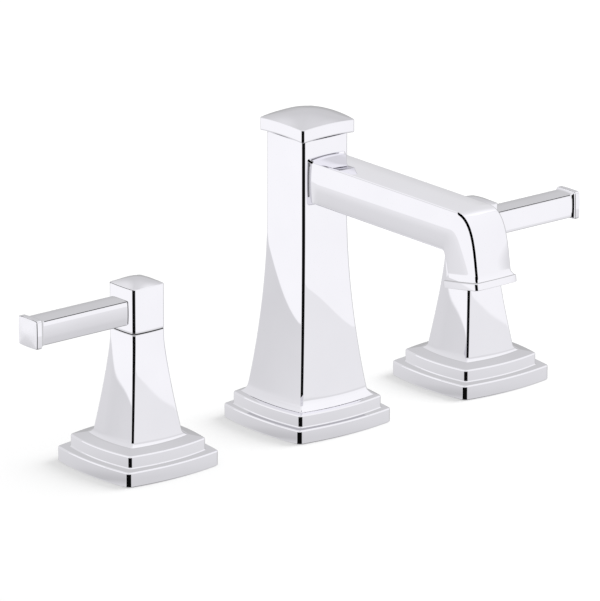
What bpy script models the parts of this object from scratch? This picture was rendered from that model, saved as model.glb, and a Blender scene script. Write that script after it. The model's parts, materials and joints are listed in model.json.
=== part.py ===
"""Widespread bathroom sink faucet: a square tower spout between two square columns with lever handles.

Metres, +Z up. The origin is the centre of the spout's base on the deck's top face. +X runs to the
right-hand handle and the spout points to -Y, towards the person who stands at the basin.
Each handle unit is built about its own axis with the lever along its local +X. An empty places
the unit, and a second empty on the turning axis carries the pieces that turn.
"""

import math

import bmesh
import bpy
from mathutils import Matrix, Vector

MM = 0.001

# Layout
HANDLE_CENTRES = 203.2 * MM
DECK_THICKNESS = 22.0 * MM
FIT_GAP = 0.3 * MM
CUT_OVERRUN = 1.0 * MM

# Two-tier base plates
HANDLE_TIER_STEP = 4.2 * MM
HANDLE_FOOT_MARGIN = 5.8 * MM
HANDLE_LOWER_TIER = 7.4 * MM
HANDLE_UPPER_TIER = 5.8 * MM
SPOUT_TIER_STEP = 3.1 * MM
SPOUT_FOOT_MARGIN = 2.4 * MM
SPOUT_LOWER_TIER = 7.0 * MM
SPOUT_UPPER_TIER = 5.9 * MM
HANDLE_PLATE_RISE = 1.4 * MM
SPOUT_PLATE_RISE = 0.5 * MM
PLATE_BOW = 3.0 * MM
PLATE_CORNER = 2.3 * MM
PLATE_EDGE = 0.5 * MM
PLATE_WALL = 2.0 * MM
BASE_PAD_HEIGHT = 2.6 * MM

# Handle column
COLUMN_HEIGHT = 50.5 * MM
COLUMN_TOP_HALF = 8.8 * MM
COLUMN_CORNER = 1.3 * MM
COLUMN_BOW = 0.8 * MM
COLUMN_FOOT_BOW = 2.2 * MM
COLUMN_WALL = 1.7 * MM
COLUMN_FLOOR = 2.0 * MM
COLUMN_CEILING = 2.4 * MM
COLUMN_HEIGHT_SHARES = (0.0, 0.01, 0.025, 0.06, 0.12, 0.2, 0.3, 0.5, 0.68, 0.8, 0.9, 1.0)
COLUMN_FLARE_SHARES = (1.0, 0.88, 0.79, 0.73, 0.665, 0.585, 0.475, 0.3, 0.145, 0.05, 0.01, 0.0)

# Handle hub and lever
HUB_HEIGHT = 21.1 * MM
HUB_CROWN = 2.8 * MM
HUB_WALL_ABOVE_STEM = 4.0 * MM
LEVER_RISE = 9.6 * MM
LEVER_LENGTH = 50.0 * MM
LEVER_TIP_FLARE = 0.6 * MM
LEVER_TIP_LENGTH = 1.8 * MM
LEVER_HALF_WIDTH = 5.5 * MM
LEVER_HALF_HEIGHT = 5.6 * MM
LEVER_CORNER = 0.9 * MM
LEVER_BOW = 0.45 * MM
LEVER_CAP_HALF = 6.5 * MM
LEVER_CAP_THICKNESS = 2.8 * MM
LEVER_CAP_CROWN = 1.0 * MM
LEVER_CAP_CORNER = 1.0 * MM
STUD_RADIUS = 2.0 * MM
STUD_REACH = 5.0 * MM
STUD_WALL = 1.1 * MM
SET_SCREW_RADIUS = 1.6 * MM
SET_SCREW_HEIGHT = 6.0 * MM
SET_SCREW_RECESS = 0.8 * MM
SET_SCREW_SOCKET_RADIUS = 0.8 * MM
SET_SCREW_SOCKET_DEPTH = 1.6 * MM

# Handle valve
STEM_RADIUS = 3.5 * MM
BUSH_WALL = 1.6 * MM
BUSH_LIP = 1.2 * MM
BUSH_DEPTH = 5.0 * MM
NECK_RADIUS = 9.0 * MM
NECK_RISE = 7.0 * MM
BONNET_FLANGE = 2.2 * MM
BARREL_RADIUS = 13.0 * MM
BARREL_BELOW_NUT = 3.9 * MM
CARTRIDGE_RADIUS = 9.3 * MM
CARTRIDGE_SKIRT_WALL = 1.0 * MM
SPIGOT_DEPTH = 9.0 * MM
WINDOW_RADIUS = 2.4 * MM
VALVE_BLOCK_RADIUS = 15.5 * MM
INLET_RADIUS = 10.3 * MM
INLET_LENGTH = 15.0 * MM
WATERWAY_RADIUS = 5.5 * MM
OUTLET_RADIUS = 8.2 * MM
OUTLET_BORE = 5.2 * MM
OUTLET_REACH = 30.0 * MM
OUTLET_MARGIN = 0.9 * MM
SEAT_RISE = 7.0 * MM
SEAL_THICKNESS = 1.6 * MM
DISC_THICKNESS = 3.0 * MM
DISC_PORT_SHARE = 0.265
DISC_PORT_OFFSET_SHARE = 0.53
DRIVER_THICKNESS = 2.4 * MM
LOCK_NUT_WALL = 1.0 * MM
LOCK_NUT_ROOM = 2.6 * MM
LOCK_NUT_HEIGHT = 3.4 * MM

# Fixings under the deck
WASHER_RADIUS = 20.0 * MM
WASHER_THICKNESS = 1.8 * MM
NUT_RADIUS = 19.0 * MM
NUT_HEIGHT = 8.0 * MM

# Spout tower and its cap
TOWER_HEIGHT = 127.0 * MM
TOWER_FOOT_HALF = 22.1 * MM
TOWER_TOP_HALF = 13.2 * MM
TOWER_CORNER = 1.4 * MM
TOWER_BOW = 0.9 * MM
TOWER_FOOT_BOW = 2.6 * MM
TOWER_WALL = 2.2 * MM
TOWER_FLOOR = 5.0 * MM
TOWER_CEILING = 3.0 * MM
TOWER_HEIGHT_SHARES = (0.0, 0.008, 0.02, 0.05, 0.1, 0.165, 0.24, 0.31, 0.39, 0.47, 0.55, 0.63, 0.7, 1.0)
TOWER_FLARE_SHARES = (1.0, 0.87, 0.765, 0.68, 0.59, 0.48, 0.36, 0.25, 0.165, 0.1, 0.045, 0.008, 0.0, 0.0)
CAP_OVERHANG = 2.3 * MM
CAP_EDGE_HEIGHT = 6.0 * MM
CAP_ARCH = 0.9 * MM
CAP_CROWN = 4.7 * MM
CAP_BOW = 1.0 * MM
CAP_CORNER = 1.2 * MM
CAP_PLUG_INSET = 3.0 * MM
CAP_PLUG_DEPTH = 7.0 * MM
CAP_RING_RADIUS = 0.9 * MM
CAP_RING_SHARE = 0.75

# Spout arm, bent down at its end
ARM_HALF_WIDTH = 10.3 * MM
ARM_BELOW_TOP = 9.7 * MM
ARM_DEPTH = 19.6 * MM
ARM_DROOP = 1.1 * MM
ARM_CORNER = 1.6 * MM
ARM_TOP_BOW = 0.9 * MM
ARM_SIDE_BOW = 0.4 * MM
ARM_WALL = 2.0 * MM
ARM_ROOT_FLARE = 1.1 * MM
ARM_ROOT_LENGTH = 3.2 * MM
ARM_ROOT_SHARES = (0.0, 0.3, 1.0)
SPOUT_REACH = 122.9 * MM
OUTLET_DROP = 35.8 * MM
OUTLET_LEAN = math.radians(9.0)
DROP_HALF_DEPTH = 10.0 * MM
ELBOW_OUTER_REACH = 15.0 * MM
ELBOW_OUTER_SHARES = (0.807, 0.453)
ELBOW_INNER_REACH = 3.6 * MM
ELBOW_INNER_SHARES = (0.333, 0.49)
ELBOW_SHARES = (0.0, 0.15, 0.3, 0.45, 0.6, 0.75, 0.88, 1.0)
COVE_HEIGHT = 3.0 * MM
COVE_FLARE = 1.1 * MM
COVE_SHARES = (0.5, 1.0)
COLLAR_HALF_WIDTH = 12.0 * MM
COLLAR_HALF_DEPTH = 11.4 * MM
COLLAR_THICKNESS = 3.3 * MM
COLLAR_BOW = 0.8 * MM

# Waterway and outlet
TUBE_RADIUS = 4.8 * MM
TUBE_WALL = 0.8 * MM
TUBE_BEND_SHARE = 0.73
TUBE_BELOW_SHANK = 20.0 * MM
TUBE_FITTING_RADIUS = 9.5 * MM
TUBE_FITTING_LENGTH = 17.0 * MM
TUBE_SOCKET_LIP = 3.0 * MM
AERATOR_LENGTH = 8.6 * MM
AERATOR_WALL = 1.4 * MM
AERATOR_LIP = 1.0 * MM
AERATOR_RECESS = 0.4 * MM
SCREEN_THICKNESS = 0.9 * MM
SCREEN_HOLE_SHARE = 0.12
SCREEN_CIRCLE_SHARE = 0.62
SCREEN_HOLES = 8
REGULATOR_THICKNESS = 2.4 * MM
REGULATOR_BORE = 1.8 * MM
AERATOR_SEAL_THICKNESS = 1.6 * MM

# Spout shank
SHANK_RADIUS = 10.2 * MM
SHANK_WALL = 2.4 * MM
SHANK_BELOW_NUT = 19.9 * MM

# Mesh fineness
SIDE_STEPS = 4
CORNER_STEPS = 2
ROUND_STEPS = 20
PIN_STEPS = 12
HOLE_STEPS = 6
BEND_STEPS = 7
TUBE_SIDE_STEPS = 4
CAP_RING_STEPS = 8
CORNER_ROUNDS = 6
DOME_SHARES = (0.78, 0.5, 0.22)
HEX_SIDES = 6
MERGE_DISTANCE = 0.001 * MM
SHARP_ANGLE = math.radians(35)

MATERIALS = {
    "chrome": ((0.86, 0.87, 0.89), 0.05, 1.0),
    "brass": ((0.72, 0.53, 0.25), 0.32, 1.0),
    "steel": ((0.62, 0.62, 0.63), 0.35, 1.0),
    "rubber": ((0.03, 0.03, 0.03), 0.75, 0.0),
    "ceramic": ((0.9, 0.88, 0.82), 0.25, 0.0),
    "nylon": ((0.82, 0.82, 0.78), 0.5, 0.0),
    "acetal": ((0.12, 0.12, 0.13), 0.45, 0.0),
    "copper": ((0.76, 0.42, 0.28), 0.3, 1.0),
}


# Sizes and heights that follow from the ones above
LOCK_NUT_RADIUS = (NECK_RADIUS + FIT_GAP + LOCK_NUT_WALL) / math.cos(math.pi / HEX_SIDES)
COLUMN_FOOT_HALF = LOCK_NUT_RADIUS + LOCK_NUT_ROOM + COLUMN_WALL
HANDLE_UPPER_HALF = COLUMN_FOOT_HALF + HANDLE_FOOT_MARGIN
HANDLE_LOWER_HALF = HANDLE_UPPER_HALF + HANDLE_TIER_STEP
SPOUT_UPPER_HALF = TOWER_FOOT_HALF + SPOUT_FOOT_MARGIN
SPOUT_LOWER_HALF = SPOUT_UPPER_HALF + SPOUT_TIER_STEP
HUB_HALF = COLUMN_TOP_HALF
COLUMN_BASE = HANDLE_LOWER_TIER + HANDLE_UPPER_TIER + HANDLE_PLATE_RISE + FIT_GAP
COLUMN_TOP = COLUMN_BASE + COLUMN_HEIGHT
HUB_BASE = COLUMN_TOP + 2 * FIT_GAP
HUB_EDGE_TOP = HUB_BASE + HUB_HEIGHT
STEM_TOP = HUB_EDGE_TOP - HUB_WALL_ABOVE_STEM
LEVER_Z = HUB_BASE + LEVER_RISE
LEVER_START = HUB_HALF + COLUMN_BOW + FIT_GAP
LEVER_END = LEVER_START + LEVER_LENGTH
STUD_START = STEM_RADIUS + FIT_GAP + STUD_WALL
HANDLE_CEILING_Z = HANDLE_LOWER_TIER + HANDLE_UPPER_TIER - PLATE_WALL
BARREL_TOP = HANDLE_CEILING_Z - 2 * FIT_GAP - BONNET_FLANGE
NECK_TOP = COLUMN_BASE + COLUMN_FLOOR + NECK_RISE
NUT_TOP = -DECK_THICKNESS - WASHER_THICKNESS - FIT_GAP
NUT_BOTTOM = NUT_TOP - NUT_HEIGHT
BLOCK_TOP = NUT_BOTTOM - BARREL_BELOW_NUT
OUTLET_PORT_Z = BLOCK_TOP - OUTLET_MARGIN - OUTLET_RADIUS
SKIRT_TOP = OUTLET_PORT_Z - WINDOW_RADIUS
DRIVER_Z = SKIRT_TOP - FIT_GAP - DRIVER_THICKNESS
TURNING_DISC_Z = DRIVER_Z - FIT_GAP - DISC_THICKNESS
FIXED_DISC_Z = TURNING_DISC_Z - FIT_GAP - DISC_THICKNESS
SEAT_Z = FIXED_DISC_Z - 2 * FIT_GAP - SEAL_THICKNESS
BLOCK_BOTTOM = SEAT_Z - SEAT_RISE
DISC_RADIUS = CARTRIDGE_RADIUS - CARTRIDGE_SKIRT_WALL - FIT_GAP
DISC_PORT_RADIUS = DISC_RADIUS * DISC_PORT_SHARE
DISC_PORT_OFFSET = DISC_RADIUS * DISC_PORT_OFFSET_SHARE
SPIGOT_BOTTOM = BARREL_TOP - SPIGOT_DEPTH
TOWER_BASE = SPOUT_LOWER_TIER + SPOUT_UPPER_TIER + SPOUT_PLATE_RISE + FIT_GAP
TOWER_TOP = TOWER_BASE + TOWER_HEIGHT
CAP_PLUG_RADIUS = TOWER_TOP_HALF - TOWER_WALL - CAP_PLUG_INSET
ARM_TOP_HEIGHT = TOWER_TOP - ARM_BELOW_TOP
ARM_CENTRE_HEIGHT = ARM_TOP_HEIGHT - ARM_DEPTH / 2
OUTLET_HEIGHT = ARM_TOP_HEIGHT - OUTLET_DROP
OUTLET_CENTRE = Vector((0, -SPOUT_REACH, OUTLET_HEIGHT))
OUTLET_UP = Vector((0, math.sin(OUTLET_LEAN), math.cos(OUTLET_LEAN)))
OUTLET_BACK = Vector((0, math.cos(OUTLET_LEAN), -math.sin(OUTLET_LEAN)))
AERATOR_RADIUS = DROP_HALF_DEPTH - ARM_WALL
AERATOR_BORE = AERATOR_RADIUS - AERATOR_WALL
SHANK_BORE = SHANK_RADIUS - SHANK_WALL
SHANK_BOTTOM = NUT_BOTTOM - SHANK_BELOW_NUT
TUBE_BOTTOM = SHANK_BOTTOM - TUBE_BELOW_SHANK


# Scene helpers


def clear_scene():
    for obj in list(bpy.data.objects):
        bpy.data.objects.remove(obj)


def new_collection(name):
    collection = bpy.data.collections.new(name)
    bpy.context.scene.collection.children.link(collection)
    return collection


def material(name):
    found = bpy.data.materials.get(name)
    if found:
        return found
    colour, roughness, metallic = MATERIALS[name]
    made = bpy.data.materials.new(name)
    made.use_nodes = True
    shader = made.node_tree.nodes["Principled BSDF"]
    shader.inputs["Base Color"].default_value = (*colour, 1)
    shader.inputs["Roughness"].default_value = roughness
    shader.inputs["Metallic"].default_value = metallic
    made.diffuse_color = (*colour, 1)
    return made


def empty(name, location=(0, 0, 0), parent=None, turn=0):
    obj = bpy.data.objects.new(name, None)
    PARTS.objects.link(obj)
    obj.location = location
    obj.rotation_euler.z = turn
    obj.parent = parent
    return obj


def add_piece(name, mesh, finish, parent=None):
    mesh.materials.append(material(finish))
    mesh.shade_smooth()
    mesh.set_sharp_from_angle(angle=SHARP_ANGLE)
    obj = bpy.data.objects.new(name, mesh)
    PARTS.objects.link(obj)
    obj.parent = parent
    return obj


def cut(target, mesh, operation="DIFFERENCE"):
    """Subtract a mesh given in the target's own frame, or join it to the target."""
    cutter = bpy.data.objects.new(f"{target.name}_tool_{len(target.modifiers)}", mesh)
    CUTTERS.objects.link(cutter)
    cutter.parent = target.parent
    cutter.location = target.location
    cutter.rotation_euler = target.rotation_euler
    cutter.hide_render = True
    cutter.display_type = "WIRE"
    boolean = target.modifiers.new("cut", "BOOLEAN")
    boolean.operation = operation
    boolean.solver = "EXACT"
    boolean.object = cutter
    return target


# Shapes


def lerp(a, b, share):
    return a + (b - a) * share


def end_angle(half_u, bow_u, centre_u, centre_v, corner):
    """Angle of a bowed side's normal where the corner arc takes over."""
    angle = 0
    for _ in range(CORNER_ROUNDS):
        rise = half_u + bow_u - centre_u - corner * math.cos(angle)
        angle = math.atan2(2 * rise, centre_v + corner * math.sin(angle))
    return angle


def outline(half_u, half_v, bow_u, bow_v, corner):
    """Closed rectangle with bowed sides and round corners, as (u, v, share of the side's bow)."""
    centre_u = half_u - corner * math.sqrt(0.5)
    centre_v = half_v - corner * math.sqrt(0.5)
    start = end_angle(half_u, bow_u, centre_u, centre_v, corner)
    stop = math.pi / 2 - end_angle(half_v, bow_v, centre_v, centre_u, corner)
    arc = []
    for step in range(CORNER_STEPS + 1):
        angle = lerp(start, stop, step / CORNER_STEPS)
        arc.append((centre_u + corner * math.cos(angle), centre_v + corner * math.sin(angle)))
    end_u, end_v = arc[-1][0], arc[0][1]
    bows = [1 - (2 * step / SIDE_STEPS - 1) ** 2 for step in range(1, SIDE_STEPS)]
    shares = [1 - 2 * step / SIDE_STEPS for step in range(1, SIDE_STEPS)]
    along_v = [(end_u * s, lerp(arc[-1][1], half_v + bow_v, b), b) for s, b in zip(shares, bows)]
    along_u = [(-lerp(arc[0][0], half_u + bow_u, b), end_v * s, b) for s, b in zip(shares, bows)]
    half_turn = [(u, v, 0) for u, v in arc] + along_v
    half_turn += [(-u, v, 0) for u, v in reversed(arc)] + along_u
    return half_turn + [(-u, -v, b) for u, v, b in half_turn]


def level(half, bow, corner, z, arch=0):
    """One square section at a height; arch lifts the middle of each side."""
    return [Vector((u, v, z + arch * b)) for u, v, b in outline(half, half, bow, bow, corner)]


def framed(points, centre, axis_u, axis_v):
    return [centre + axis_u * u + axis_v * v for u, v, _ in points]


def dome(half, bow, corner, z, crown, arch=0):
    """Sections of a square dome above a rim, and the point on top of it."""
    rings = []
    for share in DOME_SHARES:
        height = z + crown * (1 - share**2)
        rings.append(level(half * share, bow * share, corner * share, height, arch * share**2))
    return rings, Vector((0, 0, z + crown))


def loft(rings, top=None):
    """Closed mesh through equal rings of points, with flat ends or a point on the last one."""
    bm = bmesh.new()
    rows = [[bm.verts.new(point) for point in ring] for ring in rings]
    for low, high in zip(rows, rows[1:]):
        for a in range(len(low)):
            b = (a + 1) % len(low)
            bm.faces.new((low[a], low[b], high[b], high[a]))
    bm.faces.new(rows[0])
    if top is None:
        bm.faces.new(rows[-1])
    else:
        tip = bm.verts.new(top)
        for a in range(len(rows[-1])):
            bm.faces.new((rows[-1][a], rows[-1][(a + 1) % len(rows[-1])], tip))
    return finish(bm)


def finish(bm):
    bmesh.ops.recalc_face_normals(bm, faces=bm.faces)
    mesh = bpy.data.meshes.new("shape")
    bm.to_mesh(mesh)
    bm.free()
    return mesh


def prism(radius, low, high, sides=ROUND_STEPS, matrix=None):
    """Upright cylinder or prism between two heights, placed by an optional matrix."""
    bm = bmesh.new()
    bmesh.ops.create_cone(
        bm, cap_ends=True, segments=sides, radius1=radius, radius2=radius, depth=high - low
    )
    bmesh.ops.translate(bm, verts=bm.verts, vec=(0, 0, (low + high) / 2))
    if matrix:
        bmesh.ops.transform(bm, verts=bm.verts, matrix=matrix)
    return finish(bm)


def turned(name, profile, finish_name, parent=None, closed=True):
    """Turn a profile of (radius, height) points about Z; it runs down the outer side first."""
    mesh = bpy.data.meshes.new(name)
    edges = [(i, i + 1) for i in range(len(profile) - 1)]
    if closed:
        edges.append((len(profile) - 1, 0))
    mesh.from_pydata([(radius, 0, z) for radius, z in profile], edges, [])
    obj = add_piece(name, mesh, finish_name, parent)
    screw = obj.modifiers.new("turn", "SCREW")
    screw.steps = ROUND_STEPS
    screw.render_steps = ROUND_STEPS
    screw.use_merge_vertices = True
    screw.merge_threshold = MERGE_DISTANCE
    return obj


def ring_piece(name, bore, radius, low, high, finish_name, parent=None):
    profile = [(radius, high), (radius, low), (bore, low), (bore, high)]
    return turned(name, profile, finish_name, parent)


def tube_shape(points, radius):
    """Mesh of a round rod along a polyline, from a curve with a round bevel and filled caps."""
    curve = bpy.data.curves.new("rod", "CURVE")
    curve.dimensions = "3D"
    curve.bevel_depth = radius
    curve.bevel_resolution = TUBE_SIDE_STEPS
    curve.use_fill_caps = True
    spline = curve.splines.new("POLY")
    spline.points.add(len(points) - 1)
    for target, point in zip(spline.points, points):
        target.co = (*point, 1)
    rod = bpy.data.objects.new("rod", curve)
    CUTTERS.objects.link(rod)
    graph = bpy.context.evaluated_depsgraph_get()
    mesh = bpy.data.meshes.new_from_object(rod.evaluated_get(graph))
    bpy.data.objects.remove(rod)
    bm = bmesh.new()
    bm.from_mesh(mesh)
    bmesh.ops.remove_doubles(bm, verts=bm.verts, dist=MERGE_DISTANCE)
    return finish(bm)


def rounded_bend(before, corner, after, radius):
    """Points of a straight run that turns a corner on an arc and runs on."""
    into = (corner - before).normalized()
    away = (after - corner).normalized()
    turn = into.angle(away)
    reach = radius * math.tan(turn / 2)
    start = corner - into * reach
    inward = (away - into * into.dot(away)).normalized()
    points = [before]
    for step in range(BEND_STEPS + 1):
        angle = turn * step / BEND_STEPS
        points.append(start + into * radius * math.sin(angle) + inward * radius * (1 - math.cos(angle)))
    return points


def table_value(places, values, place):
    """Value at a place between the listed ones."""
    index = 1
    while index < len(places) - 1 and place > places[index]:
        index += 1
    share = (place - places[index - 1]) / (places[index] - places[index - 1])
    return lerp(values[index - 1], values[index], share)


def flared_rings(sizes, inset, low, high, every=1):
    """Sections of a tapered square column between two heights, drawn in by an inset."""
    base, height, halves, bows, corner, height_shares, flare_shares = sizes
    inside = [share for share in height_shares[::every] if low < base + share * height < high]
    rings = []
    for share in [(low - base) / height] + inside + [(high - base) / height]:
        flare = table_value(height_shares, flare_shares, share)
        half = lerp(*halves, flare) - inset
        rings.append(level(half, lerp(*bows, flare), corner, base + share * height))
    return rings


# Base plates


def plate(name, halves, tiers, rise, foot_half, bore, parent=None):
    """Two-tier cover plate, hollow from below, whose top slopes up to the foot that stands on it."""
    lower_half, upper_half = halves
    lower_tier, upper_tier = tiers
    top = lower_tier + upper_tier
    upper_corner = PLATE_CORNER * upper_half / lower_half
    obj = add_piece(name, loft([
        level(lower_half, PLATE_BOW, PLATE_CORNER, 0),
        level(lower_half, PLATE_BOW, PLATE_CORNER, lower_tier - PLATE_EDGE),
        level(lower_half - PLATE_EDGE, PLATE_BOW, PLATE_CORNER, lower_tier),
        level(upper_half, PLATE_BOW, upper_corner, lower_tier),
        level(upper_half, PLATE_BOW, upper_corner, top - PLATE_EDGE),
        level(upper_half - PLATE_EDGE, PLATE_BOW, upper_corner, top),
        level(foot_half, PLATE_BOW, upper_corner, top + rise),
    ]), "chrome", parent)
    inner_lower = lower_half - PLATE_WALL
    inner_upper = upper_half - PLATE_WALL
    cut(obj, loft([
        level(inner_lower, PLATE_BOW, PLATE_CORNER, -CUT_OVERRUN),
        level(inner_lower, PLATE_BOW, PLATE_CORNER, lower_tier - PLATE_WALL),
        level(inner_upper, PLATE_BOW, upper_corner, lower_tier - PLATE_WALL),
        level(inner_upper, PLATE_BOW, upper_corner, top - PLATE_WALL),
    ]))
    return cut(obj, prism(bore, 0, top + rise + CUT_OVERRUN))


def base_pad(name, lower_half, bore, parent=None):
    """Foam pad inside the plate's rim that seals it to the deck."""
    half = lower_half - PLATE_WALL - FIT_GAP
    body = loft([level(half, PLATE_BOW, PLATE_CORNER, z) for z in (0, BASE_PAD_HEIGHT)])
    obj = add_piece(name, body, "rubber", parent)
    return cut(obj, prism(bore, -CUT_OVERRUN, BASE_PAD_HEIGHT + CUT_OVERRUN))


def fixing_washer(name, bore, parent=None):
    top = -DECK_THICKNESS
    return ring_piece(name, bore, WASHER_RADIUS, top - WASHER_THICKNESS, top, "steel", parent)


def fixing_nut(name, bore, parent=None):
    obj = add_piece(name, prism(NUT_RADIUS, NUT_BOTTOM, NUT_TOP, HEX_SIDES), "brass", parent)
    return cut(obj, prism(bore, NUT_BOTTOM - CUT_OVERRUN, NUT_TOP + CUT_OVERRUN))


# Handle unit, standing pieces


def column_rings(inset, low, high, every=1):
    sizes = (
        COLUMN_BASE,
        COLUMN_HEIGHT,
        (COLUMN_TOP_HALF, COLUMN_FOOT_HALF),
        (COLUMN_BOW, COLUMN_FOOT_BOW),
        COLUMN_CORNER,
        COLUMN_HEIGHT_SHARES,
        COLUMN_FLARE_SHARES,
    )
    return flared_rings(sizes, inset, low, high, every)


def column(name, parent):
    """Tapered square column, hollow, with a floor for the lock nut and a ceiling for the bush."""
    obj = add_piece(name, loft(column_rings(0, COLUMN_BASE, COLUMN_TOP)), "chrome", parent)
    low = COLUMN_BASE + COLUMN_FLOOR
    high = COLUMN_TOP - COLUMN_CEILING
    cut(obj, loft(column_rings(COLUMN_WALL, low, high, 2)))
    neck_hole = prism(NECK_RADIUS + FIT_GAP, COLUMN_BASE - CUT_OVERRUN, low + CUT_OVERRUN)
    cut(obj, neck_hole)
    bush = STEM_RADIUS + FIT_GAP + BUSH_WALL + FIT_GAP
    cut(obj, prism(bush, high - CUT_OVERRUN, COLUMN_TOP + CUT_OVERRUN))
    lip = bush + BUSH_LIP
    return cut(obj, prism(lip, COLUMN_TOP - BUSH_LIP, COLUMN_TOP + CUT_OVERRUN))


def guide_bush(name, parent):
    """Flanged bush in the column's top: it guides the stem and carries the hub."""
    bore = STEM_RADIUS + FIT_GAP
    outer = bore + BUSH_WALL
    lip = outer + BUSH_LIP
    top = COLUMN_TOP + FIT_GAP
    under = COLUMN_TOP - BUSH_LIP + FIT_GAP
    low = COLUMN_TOP - BUSH_DEPTH
    profile = [(lip, top), (lip, under), (outer, under), (outer, low), (bore, low), (bore, top)]
    return turned(name, profile, "nylon", parent)


def lock_nut(name, parent):
    low = COLUMN_BASE + COLUMN_FLOOR + FIT_GAP
    high = low + LOCK_NUT_HEIGHT
    obj = add_piece(name, prism(LOCK_NUT_RADIUS, low, high, HEX_SIDES), "brass", parent)
    return cut(obj, prism(NECK_RADIUS + FIT_GAP, low - CUT_OVERRUN, high + CUT_OVERRUN))


def bonnet(name, parent):
    """Screwed top of the valve: a spigot in the barrel, a flange, and a neck through the plate."""
    bore = STEM_RADIUS + FIT_GAP
    flange_low = BARREL_TOP + FIT_GAP
    flange_high = flange_low + BONNET_FLANGE
    profile = [
        (NECK_RADIUS, NECK_TOP),
        (NECK_RADIUS, flange_high),
        (BARREL_RADIUS, flange_high),
        (BARREL_RADIUS, flange_low),
        (CARTRIDGE_RADIUS, flange_low),
        (CARTRIDGE_RADIUS, SPIGOT_BOTTOM),
        (bore, SPIGOT_BOTTOM),
        (bore, NECK_TOP),
    ]
    return turned(name, profile, "brass", parent)


def valve_body(name, parent):
    """Barrel through the deck over a block with the inlet below and the outlet at its side."""
    bore = CARTRIDGE_RADIUS + FIT_GAP
    inlet_bottom = BLOCK_BOTTOM - INLET_LENGTH
    profile = [
        (BARREL_RADIUS, BARREL_TOP),
        (BARREL_RADIUS, BLOCK_TOP),
        (VALVE_BLOCK_RADIUS, BLOCK_TOP),
        (VALVE_BLOCK_RADIUS, BLOCK_BOTTOM),
        (INLET_RADIUS, BLOCK_BOTTOM),
        (INLET_RADIUS, inlet_bottom),
        (WATERWAY_RADIUS, inlet_bottom),
        (WATERWAY_RADIUS, SEAT_Z),
        (bore, SEAT_Z),
        (bore, BARREL_TOP),
    ]
    obj = turned(name, profile, "brass", parent)
    sideways = Matrix.Translation((0, 0, OUTLET_PORT_Z)) @ Matrix.Rotation(-math.pi / 2, 4, "Y")
    wall_middle = (bore + VALVE_BLOCK_RADIUS) / 2
    cut(obj, prism(OUTLET_RADIUS, wall_middle, OUTLET_REACH, matrix=sideways), "UNION")
    return cut(obj, prism(OUTLET_BORE, 0, OUTLET_REACH + CUT_OVERRUN, matrix=sideways))


def cartridge_body(name, parent):
    """Cartridge housing: a skirt around the discs, side windows, and a guide for the stem."""
    bore = STEM_RADIUS + FIT_GAP
    skirt = CARTRIDGE_RADIUS - CARTRIDGE_SKIRT_WALL
    top = SPIGOT_BOTTOM - FIT_GAP
    low = FIXED_DISC_Z
    guide_bottom = OUTLET_PORT_Z + WINDOW_RADIUS + 2 * FIT_GAP
    profile = [
        (CARTRIDGE_RADIUS, top),
        (CARTRIDGE_RADIUS, low),
        (skirt, low),
        (skirt, guide_bottom),
        (bore, guide_bottom),
        (bore, top),
    ]
    obj = turned(name, profile, "acetal", parent)
    for turn in (0, math.pi / 2):
        across = Matrix.Translation((0, 0, OUTLET_PORT_Z))
        across @= Matrix.Rotation(turn, 4, "Z") @ Matrix.Rotation(math.pi / 2, 4, "Y")
        reach = CARTRIDGE_RADIUS + CUT_OVERRUN
        cut(obj, prism(WINDOW_RADIUS, -reach, reach, PIN_STEPS, across))
    return obj


def seat_seal(name, parent):
    low = SEAT_Z + FIT_GAP
    return ring_piece(name, WATERWAY_RADIUS, DISC_RADIUS, low, low + SEAL_THICKNESS, "rubber", parent)


def port_disc(name, low, port_turn, parent):
    """Ceramic disc with two round ports; a quarter turn brings two such discs' ports in line."""
    high = low + DISC_THICKNESS
    obj = add_piece(name, prism(DISC_RADIUS, low, high), "ceramic", parent)
    for side in (0, math.pi):
        offset = Matrix.Rotation(port_turn + side, 4, "Z")
        offset @= Matrix.Translation((DISC_PORT_OFFSET, 0, 0))
        cut(obj, prism(DISC_PORT_RADIUS, low - CUT_OVERRUN, high + CUT_OVERRUN, PIN_STEPS, offset))
    return obj


# Handle unit, turning pieces


def stem(name, parent):
    """Stem from the disc driver up to the hub's socket."""
    profile = [
        (0, STEM_TOP),
        (STEM_RADIUS, STEM_TOP),
        (STEM_RADIUS, DRIVER_Z + DRIVER_THICKNESS),
        (DISC_RADIUS, DRIVER_Z + DRIVER_THICKNESS),
        (DISC_RADIUS, DRIVER_Z),
        (0, DRIVER_Z),
    ]
    obj = turned(name, profile, "brass", parent, closed=False)
    for side in (0, math.pi):
        offset = Matrix.Rotation(side, 4, "Z") @ Matrix.Translation((DISC_PORT_OFFSET, 0, 0))
        low = DRIVER_Z - CUT_OVERRUN
        high = DRIVER_Z + DRIVER_THICKNESS + CUT_OVERRUN
        cut(obj, prism(DISC_PORT_RADIUS, low, high, PIN_STEPS, offset))
    return obj


def hub(name, back, parent):
    """Square hub with a domed top, a socket for the stem, and holes for the stud and set screw."""
    rings, tip = dome(HUB_HALF, COLUMN_BOW, COLUMN_CORNER, HUB_EDGE_TOP, HUB_CROWN)
    sides = [level(HUB_HALF, COLUMN_BOW, COLUMN_CORNER, z) for z in (HUB_BASE, HUB_EDGE_TOP)]
    obj = add_piece(name, loft(sides + rings, tip), "chrome", parent)
    cut(obj, prism(STEM_RADIUS + FIT_GAP, HUB_BASE - CUT_OVERRUN, STEM_TOP + FIT_GAP))
    face = LEVER_START + CUT_OVERRUN
    cut(obj, prism(STUD_RADIUS + FIT_GAP, STUD_START - FIT_GAP, face, PIN_STEPS, along_lever()))
    screw_hole = prism(SET_SCREW_RADIUS + FIT_GAP, 0, HUB_HALF + HUB_CROWN, PIN_STEPS, along_back(back))
    return cut(obj, screw_hole)


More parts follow.
